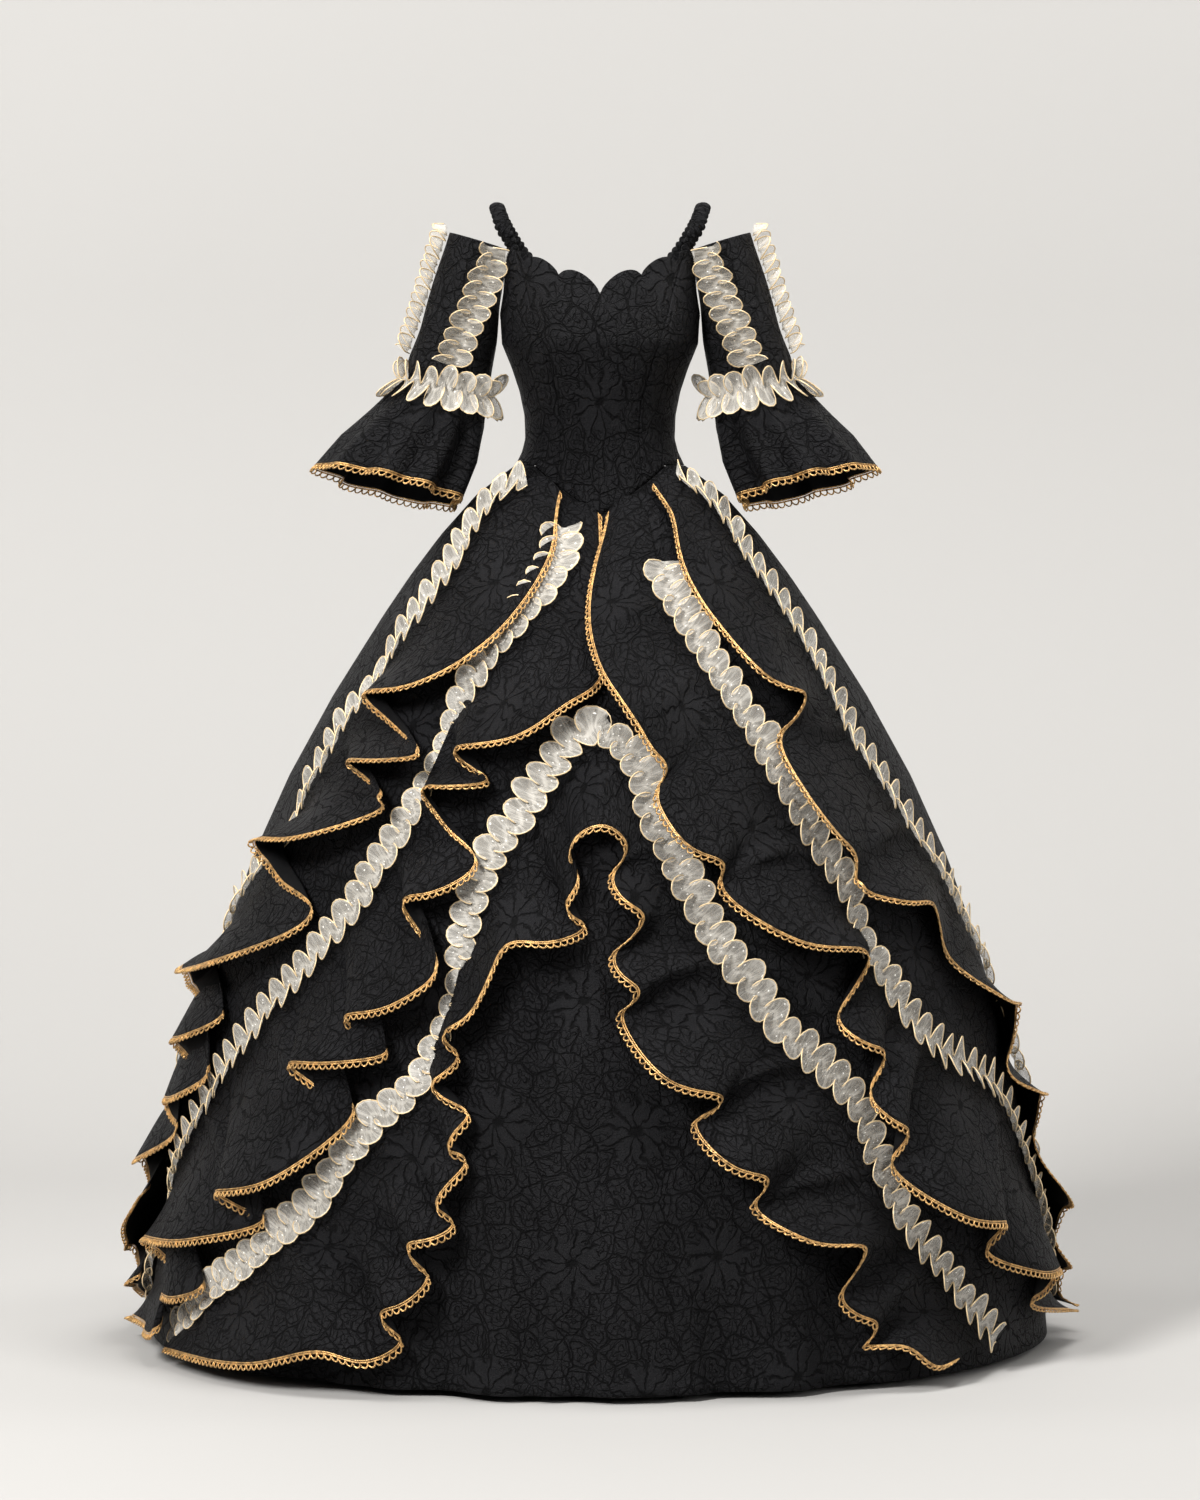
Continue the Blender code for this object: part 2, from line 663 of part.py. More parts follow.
def tier(number, side, seam, edge, waves, layers):
    """A flounce with its braid and the ruche over its seam, laid over the layers below."""
    ending = f"{number}_{side}" if side else f"{number}"
    stand_out, lift = SEWN_ON[ending]
    grid = layers.laid_over(flounce_grid(seam, edge, stand_out))
    points = skirt_point(grid[..., 0], grid[..., 1], grid[..., 2])
    edged(f"flounce_{ending}", f"braid_{ending}", points)
    layers.add(grid, LAYER_ROWS, LAYER_COLUMNS)
    seam_ruche(f"ruche_{ending}", seam, waves, lift / 1000.0, layers)


def skirt_panel(name, first, last):
    """Half the base skirt between two azimuths, with a column at the bottom and each side of every fold."""
    columns = {first, last, 0.5 * (first + last)}
    for centre, half_width, depth in SKIRT_FOLDS:
        for column in (centre - 1.3 * half_width, centre, centre + 1.3 * half_width):
            column = (column - first) % 360.0 + first
            if first + 2.0 < column < last - 2.0:
                columns.add(column)
    azimuth = np.array(sorted(columns))
    shares = np.array([0.0, 0.05, 0.14, 0.28, 0.46, 0.64, 0.82, 1.0])[:, None]
    top = waist_height(azimuth) - 3.0 * SEAM_GAP
    height = top + (LOWEST - top) * shares
    azimuth = np.broadcast_to(azimuth, height.shape).copy()
    inset = np.degrees(SEAM_GAP / smooth_radius(azimuth, height))
    azimuth[:, 0] += inset[:, 0]
    azimuth[:, -1] -= inset[:, -1]
    wall(name, skirt_point(azimuth, height, -1000.0 * fold_depth(azimuth, height)), CLOTH, BLACK)


def bodice_point(azimuth, height):
    waist = waist_height(azimuth)
    level = np.where(height < 1.12, 1.12 - (1.12 - height) * (1.12 - SKIRT_TOP) / (1.12 - waist), height)
    half_width = table_value(BODICE_SECTIONS, level, 1)
    front = table_value(BODICE_SECTIONS, level, 2)
    back = table_value(BODICE_SECTIONS, level, 3)
    angle = np.radians(azimuth)
    depth = np.where(np.abs(azimuth) < 90.0, front, back)
    return np.stack([half_width * np.sin(angle), -depth * np.cos(angle), height], axis=-1)


def bodice_panel(name, low, high, columns):
    """A bodice panel; low and high give the azimuth of its two side seams at a share of the height."""
    shares = np.array([0.0, 0.14, 0.30, 0.46, 0.62, 0.80, 1.0])
    azimuth = []
    for share in shares:
        inset = np.degrees(0.75 * SEAM_GAP / 0.10)
        azimuth.append(low(share) + inset + (high(share) - low(share) - 2 * inset) * np.array(columns))
    azimuth = np.array(azimuth)
    shape = table_value(NECKLINE, np.abs(azimuth[-1]), 1)
    bottom = waist_height(azimuth[0]) + 0.5 * SEAM_GAP
    height = bottom + (shape - bottom) * shares[:, None]
    wall(name, bodice_point(azimuth, height), CLOTH, BLACK)


def princess(share):
    return table_value(PRINCESS_SEAM, share, 1)


def bodice():
    reach = PRINCESS_SEAM[-1][1]
    marks = [0, 8, 16, 24, 32, 42, 49, reach]
    marks = sorted({-m for m in marks} | set(marks))
    bodice_panel("bodice_front", lambda s: -princess(s), princess, [(m + reach) / (2 * reach) for m in marks])
    even = [0.0, 0.28, 0.5, 0.75, 1.0]
    bodice_panel("bodice_side_front_left", princess, lambda s: 90.0, even)
    odd = [1 - e for e in even[::-1]]
    bodice_panel("bodice_side_front_right", lambda s: -90.0, lambda s: -princess(s), odd)
    even = [0.0, 0.2, 0.4, 0.57, 0.78, 1.0]
    bodice_panel("bodice_back_left", lambda s: 90.0, lambda s: 180.0, even)
    bodice_panel("bodice_back_right", lambda s: -180.0, lambda s: -90.0, [1 - e for e in even[::-1]])


def strap(name, side):
    """A ruched tube from inside the front top edge, over the shoulder, to inside the back top edge."""
    count, around = 19, 8
    at, knots, lengths = smooth_course(STRAP_PATH, lambda rows: rows[:, :3])
    path = at(np.linspace(0.0, knots[-1], count))
    centre = path[:, :3]
    run = np.gradient(centre, axis=0)
    run /= np.linalg.norm(run, axis=1, keepdims=True)
    turn = np.radians(path[:, 3])
    flat = np.stack([np.cos(turn), np.sin(turn), 0.0 * turn], axis=1)
    across = np.cross(run, np.cross(flat, run))
    across /= np.linalg.norm(across, axis=1, keepdims=True)
    off_body = np.cross(run, across)
    angle = 2.0 * math.pi * np.arange(around) / around
    ruching = (1.0 - 0.12 * (np.arange(count) % 2))[:, None, None]
    rings = (
        centre[:, None]
        + ruching * STRAP_HALF_WIDTH * np.cos(angle)[None, :, None] * across[:, None]
        + ruching * STRAP_HALF_DEPTH * np.sin(angle)[None, :, None] * off_body[:, None]
    )
    rings[..., 0] *= side
    faces = []
    for r in range(count - 1):
        for c in range(around):
            a, b = r * around + c, r * around + (c + 1) % around
            faces.append((a, b, b + around, a + around))
    flat_from = len(faces)
    points = np.concatenate([rings.reshape(-1, 3), rings[0].mean(axis=0)[None], rings[-1].mean(axis=0)[None]])
    last = (count - 1) * around
    for c in range(around):
        faces.append((count * around, (c + 1) % around, c))
        faces.append((count * around + 1, last + c, last + (c + 1) % around))
    solid(name, points, faces, flat_from, BLACK)


def limb_point(side, angle, height, stand_out):
    """Points on the sleeve and its bell: angle in degrees from the front towards the outer side, height of
    the ring's centre, stand-out in mm."""
    rows = [(*row, 0.0, 0.0) for row in SLEEVE_SECTIONS] + BELL_SECTIONS
    values = (table_value(rows, height, i) for i in range(1, 7))
    centre, half_width, half_depth, tilt, back_tilt, forward = values
    top = SLEEVE_SECTIONS[-1][0]
    low = BELL_SECTIONS[-1][0]
    strength = np.clip((top - height) / (top - low), 0.0, 1.0)
    dip = 0.0 * (angle + height)
    for fold, width, depth in BELL_FOLDS:
        share = turn_apart(angle, fold) / width
        dip = dip + strength * depth / 1000.0 * np.exp(-share * share)
    turn = np.radians(angle)
    out = stand_out / 1000.0 - dip
    narrower = LEFT_BELL_NARROWER * strength if side == "left" else 0.0
    across = -(half_width - narrower + out) * np.sin(turn)
    deep = -(half_depth + out) * np.cos(turn)
    x = centre + narrower + across
    z = height + tilt * across + back_tilt * deep
    sign = -1.0 if side == "left" else 1.0
    return np.stack([sign * x, deep + forward, z], axis=-1)


def sleeve_ruche(name, side, path, wave_height, waves, closed=False):
    """A gathered organza strip on the sleeve; path gives angle and height, or the height of a closed one."""
    if closed:
        count = waves * RUCHE_STEPS
        angle = np.linspace(-180.0, 180.0, count + 1)
        height = np.full(count + 1, path)
        up = np.stack([0.0 * angle, np.ones(count + 1)], axis=1)
    else:
        count = waves * RUCHE_STEPS + 1
        at, knots, lengths = smooth_course(path, lambda rows: limb_point(side, rows[:, 0], rows[:, 1], 0.0))
        angle, height = at(np.linspace(0.0, knots[-1], count)).T
        up = np.stack([np.ones(count), 0.0 * angle], axis=1)
    wide, lift = ruche_shape(len(angle), waves, STRIP_LIFT, wave_height)
    around = np.degrees(wide * STRIP_HALF_WIDTH / 0.048) * up[:, 0] + angle
    along_height = height + wide * STRIP_HALF_WIDTH * up[:, 1]
    points = limb_point(side, around, along_height, 1000.0 * lift)
    wall(name, points[:, :-1] if closed else points, ORGANZA, IVORY, closed)


def sleeve(side):
    angle = np.linspace(-180.0, 180.0, 17)[:-1]
    heights = [row[0] for row in SLEEVE_SECTIONS]
    tube = np.array([limb_point(side, angle, h, 0.0) for h in heights])
    wall(f"sleeve_{side}", tube, CLOTH, BLACK, True)
    angle = np.linspace(-180.0, 180.0, 31)[:-1]
    heights = [heights[-1] - 3 * SEAM_GAP] + [row[0] for row in BELL_SECTIONS]
    bell = [limb_point(side, angle, h, 0.0) for h in heights]
    inward = bell[-2] - bell[-1]
    inward *= BRAID_WIDTH / np.linalg.norm(inward, axis=1, keepdims=True)
    bell = np.array(bell[:-1] + [bell[-1] + inward, bell[-1]])
    edged(f"sleeve_bell_{side}", f"sleeve_braid_{side}", bell, True)
    sleeve_ruche(f"sleeve_ruche_front_{side}", side, SLEEVE_FRONT_STRIP, STRIP_WAVE, 6)
    sleeve_ruche(f"sleeve_ruche_outer_{side}", side, SLEEVE_OUTER_STRIP, STRIP_WAVE, 6)
    sleeve_ruche(f"sleeve_ruche_band_{side}", side, ELBOW_BAND_HEIGHT, BAND_WAVE, 8, True)


def main():
    for old in list(bpy.data.objects):
        bpy.data.objects.remove(old, do_unlink=True)
    bodice()
    strap("strap_left", 1.0)
    strap("strap_right", -1.0)
    sleeve("left")
    sleeve("right")
    skirt_panel("skirt_front", -90.0, 90.0)
    skirt_panel("skirt_back", 90.0, 270.0)
    layers = Layers()
    right = edge_points(EDGE_3_RIGHT, EDGE_3_TOP)[1:]
    left = edge_points(EDGE_3_LEFT, EDGE_3_TOP)
    edge = along(right[::-1] + left, on_skirt, EDGE_STEP)
    tier(3, "", SEAM_3_RIGHT[:0:-1] + SEAM_3_LEFT, edge, 25, layers)
    for number, side, seam, table in (
        (2, "right", SEAM_2_RIGHT, EDGE_2_RIGHT),
        (2, "left", SEAM_2_LEFT, EDGE_2_LEFT),
        (1, "right", SEAM_1_RIGHT, EDGE_1_RIGHT),
        (1, "left", SEAM_1_LEFT, EDGE_1_LEFT),
    ):
        edge = along(edge_points(table), on_skirt, EDGE_STEP)
        tier(number, side, seam, edge, 13, layers)


main()
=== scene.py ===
"""Looks of the black jacquard ball gown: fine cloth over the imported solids, trims, materials, light, camera.

Metres, +Z up, front along -Y, +X the wearer's left, origin at the centre of the waist. Tables give heights
above the floor; WAIST_HEIGHT is taken off when a mesh is made. Skirt points are given as azimuth (degrees
from the front, + towards the wearer's left), height and stand-out (millimetres off the base skirt).
"""

import math

import bpy
import numpy as np
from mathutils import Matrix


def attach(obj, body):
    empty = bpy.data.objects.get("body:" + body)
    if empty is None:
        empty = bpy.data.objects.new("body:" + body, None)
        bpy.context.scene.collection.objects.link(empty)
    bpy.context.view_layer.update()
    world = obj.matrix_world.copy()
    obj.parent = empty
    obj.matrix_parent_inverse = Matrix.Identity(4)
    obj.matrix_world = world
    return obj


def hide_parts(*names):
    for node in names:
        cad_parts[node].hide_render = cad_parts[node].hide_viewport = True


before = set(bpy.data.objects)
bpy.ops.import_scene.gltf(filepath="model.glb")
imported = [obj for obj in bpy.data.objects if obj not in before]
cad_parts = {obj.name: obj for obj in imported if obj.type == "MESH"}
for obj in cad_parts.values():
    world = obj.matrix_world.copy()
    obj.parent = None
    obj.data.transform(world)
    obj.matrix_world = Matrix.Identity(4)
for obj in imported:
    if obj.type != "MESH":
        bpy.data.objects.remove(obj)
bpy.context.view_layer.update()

WAIST_HEIGHT = 1.10
JACQUARD = 0.0011
ORGANZA = 0.0003
STRAP_CLOTH = 0.0006
SEAM_GAP = 0.0003
LOWEST = 0.006

# Base skirt, columns: height m, radius m
SKIRT_SECTIONS = [
    (1.087, 0.105),
    (1.050, 0.153),
    (1.000, 0.198),
    (0.950, 0.236),
    (0.900, 0.270),
    (0.800, 0.333),
    (0.700, 0.388),
    (0.600, 0.433),
    (0.500, 0.468),
    (0.400, 0.497),
    (0.300, 0.520),
    (0.200, 0.540),
    (0.100, 0.552),
    (0.000, 0.560),
]
SKIRT_TOP = 1.087
WAIST_V_DROP = 0.062
WAIST_V_REACH = 50.0
DEPTH_AT_WAIST = 0.95
DEPTH_FULL_BELOW = 0.70

# Soft folds of the base skirt, columns: azimuth deg, half width deg, depth at the hem mm
SKIRT_FOLDS = [
    (-20, 4.5, 24),
    (17, 4.0, 18),
    (31, 5.0, 16),
    (-37, 5.5, 14),
    (-124, 6.0, 22),
    (-141, 6.5, 20),
    (-158, 6.0, 24),
    (-175, 6.0, 22),
    (168, 6.0, 24),
    (151, 6.5, 20),
    (134, 6.0, 24),
    (119, 6.0, 20),
]
FOLDS_START = 0.80
SKIRT_ROWS = 91
SKIRT_COLUMNS = 141
# The skirt is cut in gores, so the pattern is laid on each by itself
GORE_DEGREES = 30.0
GORE_WIDTH = 0.293

# Bodice, columns: height m, half width m, front depth m, back depth m
BODICE_SECTIONS = [
    (1.087, 0.105, 0.0998, 0.0998),
    (1.104, 0.097, 0.093, 0.090),
    (1.120, 0.093, 0.090, 0.084),
    (1.149, 0.094, 0.094, 0.084),
    (1.179, 0.100, 0.104, 0.088),
    (1.209, 0.110, 0.118, 0.093),
    (1.238, 0.122, 0.128, 0.098),
    (1.270, 0.124, 0.125, 0.100),
    (1.300, 0.123, 0.114, 0.100),
    (1.330, 0.124, 0.102, 0.098),
    (1.360, 0.126, 0.092, 0.095),
]
# Princess seam between the front and the side front, columns: share of the height, azimuth deg
PRINCESS_SEAM = [(0.0, 31.0), (0.35, 32.0), (0.60, 37.0), (0.80, 46.0), (1.0, 57.0)]

# Ruched strap on the wearer's left, columns: x m, y m, height m, turn of its flat side deg
STRAP_PATH = [
    (0.1045, -0.0365, 1.3440, 62),
    (0.1110, -0.0420, 1.3620, 48),
    (0.1190, -0.0430, 1.3780, 25),
    (0.1250, -0.0300, 1.3960, 8),
    (0.1280, -0.0080, 1.4070, 0),
    (0.1270, 0.0180, 1.4050, 0),
    (0.1210, 0.0440, 1.3900, -10),
    (0.1040, 0.0640, 1.3620, -25),
    (0.0850, 0.0705, 1.3380, -40),
    (0.0715, 0.0695, 1.3110, -42),
]
STRAP_HALF_WIDTH = 0.0090
STRAP_HALF_DEPTH = 0.0055
STRAP_CUT_WIDTH = 0.045

# Sleeve tube on the wearer's right, columns: centre height m, centre x m, half width m, half depth m,
# tilt in x
SLEEVE_SECTIONS = [
    (1.366, -0.1524, 0.0345, 0.040, -0.30),
    (1.330, -0.1594, 0.0395, 0.043, -0.26),
    (1.290, -0.1680, 0.0430, 0.046, -0.22),
    (1.249, -0.1770, 0.0470, 0.049, -0.20),
    (1.215, -0.1860, 0.0500, 0.051, -0.20),
    (1.183, -0.1920, 0.0515, 0.052, -0.20),
]
# Bell flounce of the sleeve, columns: centre height m, centre x m, half width m, half depth m, tilt in x,
# tilt in y, centre y m
BELL_SECTIONS = [
    (1.143, -0.2110, 0.0730, 0.0700, -0.17, -0.06, -0.004),
    (1.102, -0.2320, 0.0890, 0.0810, -0.22, -0.12, -0.012),
    (1.054, -0.2580, 0.1000, 0.0900, -0.236, -0.185, -0.024),
]
# Folds of the bell, columns: angle deg from the front towards the outer side, half width deg,
# depth at the hem mm
BELL_FOLDS = [
    (-98, 32, 26),
    (-44, 11, 20),
    (-12, 11, 12),
    (28, 11, 14),
    (118, 14, 18),
    (165, 13, 22),
    (-150, 12, 16),
]
LEFT_BELL_NARROWER = 0.0055
SLEEVE_ROWS = 49
SLEEVE_AROUND = 120
BELL_ROWS = 41
BELL_AROUND = 192

# Strips of organza on the sleeve, columns: angle deg from the front towards the outer side, height m
SLEEVE_FRONT_STRIP = [(-31, 1.362), (-25, 1.340), (-16, 1.305), (-7, 1.255), (-3, 1.211)]
SLEEVE_OUTER_STRIP = [(84, 1.376), (84, 1.340), (85, 1.300), (86, 1.255), (88, 1.216)]
ELBOW_BAND_HEIGHT = 1.184
RUCHE_HALF_WIDTH = 0.021
STRIP_HALF_WIDTH = 0.019
STRIP_LIFT = 0.0027

# Top seams of the three tiers, columns: azimuth deg, height m, from the waist or the arch down to the floor
SEAM_1_RIGHT = [
    (-44, 1.074), (-49, 1.050), (-51, 1.020), (-50, 0.975), (-52, 0.915), (-56, 0.860),
    (-59, 0.800), (-60, 0.750), (-64, 0.665), (-72, 0.570), (-86, 0.440), (-95, 0.330),
    (-102, 0.200), (-107, 0.100), (-110, 0.030),
]
SEAM_1_LEFT = [
    (46, 1.076), (52, 1.050), (54, 1.020), (53, 0.985), (55, 0.940), (57, 0.880),
    (57, 0.800), (59, 0.730), (63, 0.670), (69, 0.600), (78, 0.480), (86, 0.380),
    (92, 0.290), (98, 0.200), (104, 0.100), (108, 0.030),
]
SEAM_2_RIGHT = [
    (-19, 1.042), (-15, 0.970), (-21, 0.905), (-27, 0.850), (-30, 0.790), (-32, 0.720),
    (-34, 0.650), (-37, 0.600), (-42, 0.530), (-47, 0.480), (-52, 0.440), (-58, 0.385),
    (-65, 0.320), (-71, 0.250), (-77, 0.160), (-82, 0.090), (-86, 0.030),
]
SEAM_2_LEFT = [
    (24, 1.050), (20, 0.960), (22, 0.905), (25, 0.860), (28, 0.810), (31, 0.765),
    (34, 0.700), (37, 0.640), (41, 0.570), (43, 0.515), (46, 0.445), (53, 0.388),
    (63, 0.350), (71, 0.300), (78, 0.200), (85, 0.100), (90, 0.030),
]
SEAM_3_RIGHT = [
    (0, 0.768), (-5, 0.757), (-10, 0.710), (-14, 0.660), (-17, 0.630), (-19, 0.585),
    (-20, 0.530), (-21, 0.470), (-23, 0.405), (-25, 0.360), (-30, 0.320), (-34, 0.275),
    (-38, 0.215), (-44, 0.175), (-49, 0.140), (-61, 0.067), (-68, 0.030),
]
SEAM_3_LEFT = [
    (0, 0.768), (5, 0.750), (8, 0.710), (9, 0.665), (12, 0.620), (14, 0.580),
    (17, 0.530), (21, 0.480), (25, 0.425), (30, 0.385), (35, 0.335), (38, 0.260),
    (41, 0.190), (47, 0.135), (52, 0.080), (57, 0.030),
]

# Free edges of the tiers, from the top down. A row of three is a plain point: azimuth deg, height m,
# stand-out mm. A row of five is one fold: outer turn azimuth and height, inner turn azimuth and height,
# stand-out of its front mm.
EDGE_1_RIGHT = [
    (-21, 1.043, 7),
    (-15, 0.985, 12),
    (-18, 0.925, 22),
    (-26, 0.858, 36),
    (-51, 0.805, -29, 0.742, 60),
    (-48, 0.728, -34, 0.690, 55),
    (-66, 0.625, -46, 0.548, 65),
    (-88, 0.455, -63, 0.417, 58),
    (-80, 0.370, -62, 0.352, 46),
    (-78, 0.298, -70, 0.275, 40),
    (-90, 0.212, -76, 0.188, 50),
    (-92, 0.098, -80, 0.080, 46),
    (-95, 0.046, 36),
    (-100, 0.028, 34),
]
EDGE_1_LEFT = [
    (28, 1.052, 8),
    (28, 1.020, 10),
    (24, 0.970, 18),
    (25, 0.925, 26),
    (29, 0.875, 34),
    (34, 0.825, 44),
    (43, 0.812, 34, 0.760, 50),
    (41, 0.616, 41, 0.580, 50),
    (56, 0.556, 60, 0.488, 48),
    (78, 0.420, 70, 0.345, 50),
    (84, 0.305, 77, 0.255, 46),
    (91, 0.152, 86, 0.118, 48),
    (94, 0.072, 90, 0.030, 40),
]
EDGE_2_RIGHT = [
    (2, 1.018, 6),
    (2, 0.920, 10),
    (1, 0.820, 18),
    (-5, 0.795, 42),
    (-26, 0.744, -18, 0.707, 56),
    (-30, 0.700, -18, 0.612, 58),
    (-29, 0.566, -21, 0.490, 52),
    (-35, 0.429, -27, 0.388, 56),
    (-43, 0.371, -32, 0.322, 56),
    (-52, 0.212, -44, 0.185, 62),
    (-74, 0.136, -54, 0.099, 50),
    (-66, 0.070, -61, 0.036, 38),
    (-86, 0.022, 42),
]
EDGE_2_LEFT = [
    (2, 1.018, 10),
    (-3, 0.960, 18),
    (-4, 0.900, 28),
    (-1, 0.840, 36),
    (3, 0.800, 44),
    (7, 0.758, 40),
    (11, 0.727, 8, 0.698, 40),
    (18, 0.613, 17, 0.590, 52),
    (39, 0.503, 33, 0.425, 58),
    (39, 0.385, 36, 0.335, 48),
    (41, 0.291, 38, 0.255, 46),
    (56, 0.170, 54, 0.138, 58),
    (74, 0.093, 66, 0.068, 48),
    (84, 0.034, 44),
]
EDGE_3_RIGHT = [
    (-4, 0.642, 34),
    (-5, 0.622, 22),
    (-3, 0.602, 16),
    (-5, 0.566, -1, 0.538, 36),
    (-6, 0.520, 50),
    (-12, 0.522, 55),
    (-14, 0.482, 50),
    (-21, 0.420, -18, 0.392, 44),
    (-22, 0.360, -16, 0.325, 38),
    (-19, 0.300, -16, 0.270, 30),
    (-20, 0.236, -17, 0.196, 30),
    (-23, 0.172, -20, 0.138, 38),
    (-26, 0.090, -23, 0.060, 38),
    (-27, 0.030, 36),
    (-32, 0.042, 52),
    (-42, 0.018, 58),
    (-62, 0.016, 42),
]
EDGE_3_LEFT = [
    (3, 0.642, 34),
    (4, 0.622, 22),
    (1, 0.604, 14),
    (6, 0.557, 1, 0.512, 42),
    (5, 0.472, 2, 0.448, 38),
    (15, 0.345, 11, 0.322, 54),
    (20, 0.252, 18, 0.226, 50),
    (32, 0.172, 29, 0.108, 56),
    (34, 0.078, 32, 0.052, 32),
    (37, 0.050, 42),
    (40, 0.022, 50),
    (45, 0.029, 41),
]
EDGE_3_TOP = (0, 0.656, 40)

FRONT_SWING = 0.44
FRONT_FALL = 0.80
FOLD_BACK = 24.0

# How far the top of each tier stands off the skirt's crests and its ruche's middle off the tier, columns:
# tier, seam stand-out mm, ruche lift mm
SEWN_ON = {
    "1_right": (2.2, 3.3),
    "1_left": (0.8, -1.3),
    "2_right": (3.7, 1.0),
    "2_left": (2.4, -1.1),
    "3": (0.8, -1.3),
}
STAND_OUT_POWER = 1.4
EDGE_STEP = 0.055
FLOUNCE_ROWS = (0.0, 0.5)
SEAM_EVENNESS = 0.06
SEAM_SMOOTHING = 12
BRAID_WIDTH = 0.011
LAYER_CLEARANCE = 0.0022
LAYER_FULL = 0.026
LAYER_FADE = 0.070
LAYER_KEEP = 0.5
LAYER_ROWS = 7
LAYER_COLUMNS = 4
RUCHE_FULL = 0.016
RUCHE_FADE = 0.034
RUCHE_STEPS = 4

# Trim sizes. BRAID_CORDS is where the braid's two straight cords lie past the cloth's edge
BRAID_PITCH = 0.0090
BRAID_RADIUS = 0.00105
BRAID_CORDS = (0.0008, 0.0034)
SCALLOP_RADIUS = 0.00105
SCALLOP_MIDDLE = 0.0071
SCALLOP_DEPTH = 0.0033
SCALLOP_LEAN = 0.00155
SCALLOP_LIFT = 0.0006
RIBBON_STEPS = 12
RIBBON_ROWS = 11
WIRE_RADIUS = 0.00085
RUCHE_PITCH = 0.0275
RUCHE_RISE = 0.0100
STRIP_PITCH = 0.0205
STRIP_RISE = 0.018
BAND_HALF_WIDTH = 0.0215
BAND_PITCH = 0.0200
BAND_RISE = 0.017
SEAM_PLACES = 700
SEAM_STEP = 7
MOST_COVER = 20.0
COVER_FADE = 10.0

# Drape ridges of the flounces, which run from the seam to the hem, columns: share along the seam, half width
# mm, height mm, where along the fall it is highest, how far along the fall it reaches
FLOUNCE_CREASES = {
    "1_right": [
        (0.09, 13, 6, 0.40, 0.35), (0.18, 15, 9, 0.45, 0.35), (0.27, 14, 7, 0.35, 0.30),
        (0.38, 14, 8, 0.40, 0.30), (0.50, 13, 7, 0.35, 0.30), (0.63, 14, 8, 0.40, 0.30),
        (0.78, 14, 7, 0.35, 0.30), (0.90, 13, 6, 0.35, 0.30),
    ],
    "1_left": [
        (0.10, 14, 7, 0.40, 0.35), (0.20, 15, 9, 0.45, 0.40), (0.31, 15, 8, 0.35, 0.35),
        (0.42, 16, 10, 0.40, 0.35), (0.55, 14, 7, 0.35, 0.30), (0.68, 15, 9, 0.40, 0.30),
        (0.82, 14, 7, 0.35, 0.30),
    ],
    "2_right": [
        (0.08, 13, 8, 0.45, 0.35), (0.16, 14, 9, 0.40, 0.35), (0.26, 13, 7, 0.35, 0.30),
        (0.37, 14, 9, 0.35, 0.30), (0.49, 13, 7, 0.35, 0.30), (0.62, 14, 9, 0.35, 0.30),
        (0.75, 13, 7, 0.35, 0.30), (0.88, 13, 7, 0.35, 0.30),
    ],
    "2_left": [
        (0.07, 13, 7, 0.35, 0.35), (0.14, 14, 11, 0.40, 0.40), (0.22, 15, 12, 0.45, 0.40),
        (0.31, 14, 10, 0.45, 0.40), (0.40, 15, 12, 0.40, 0.35), (0.50, 14, 10, 0.40, 0.35),
        (0.60, 14, 11, 0.40, 0.35), (0.72, 14, 8, 0.35, 0.30), (0.86, 13, 7, 0.35, 0.30),
    ],
    "3": [
        (0.05, 13, 7, 0.40, 0.30), (0.13, 14, 9, 0.40, 0.35), (0.22, 13, 8, 0.40, 0.35),
        (0.31, 14, 10, 0.40, 0.35), (0.39, 13, 8, 0.45, 0.35), (0.46, 12, 9, 0.45, 0.35),
        (0.54, 12, 10, 0.45, 0.35), (0.61, 14, 11, 0.45, 0.40), (0.69, 15, 12, 0.45, 0.40),
        (0.77, 14, 10, 0.45, 0.40), (0.85, 14, 9, 0.40, 0.35), (0.93, 13, 7, 0.40, 0.30),
    ],
}
FLOUNCE_FINE = 7
LOOP_DROP = 0.026
ROUNDING_STEP = 0.004
ROUNDING_PASSES = 26
FLOUNCE_FALL = 25
HANG = 0.55

# Where a ribbon comes out from under the cloth, in 700ths of its seam
RIBBON_START = {"2_left": 62, "2_right": 26}

# Soft creases of the base skirt, columns: azimuth and height where it starts, azimuth and height where it
# ends, half width mm, depth mm
SKIRT_CREASES = [
    (4, 0.60, -3, 0.02, 26, 5), (-10, 0.42, -12, 0.02, 20, -4), (12, 0.40, 14, 0.02, 22, 5),
    (24, 0.30, 25, 0.02, 18, -4), (-28, 0.30, -30, 0.02, 20, 4), (6, 0.20, 8, 0.02, 14, -3),
    (-4, 0.30, -6, 0.02, 16, -4), (100, 1.00, 96, 0.05, 26, 6), (112, 1.03, 110, 0.10, 22, -5),
    (126, 1.04, 128, 0.06, 24, 6), (139, 1.05, 146, 0.15, 20, -5), (152, 1.05, 157, 0.05, 24, 6),
    (166, 1.05, 171, 0.20, 22, -5), (178, 1.05, 181, 0.05, 24, 6), (-168, 1.05, -172, 0.15, 20, -5),
    (-155, 1.05, -159, 0.05, 26, 6), (-142, 1.05, -147, 0.10, 22, -5), (-129, 1.04, -131, 0.05, 24, 6),
    (-114, 1.03, -112, 0.12, 20, -5), (-101, 1.00, -97, 0.05, 26, 6), (0, 1.00, 2, 0.80, 18, -4),
    (-12, 0.98, -8, 0.78, 16, 4), (13, 1.00, 9, 0.80, 16, 4),
]
SKIRT_CREASE_DEPTH = 2.2

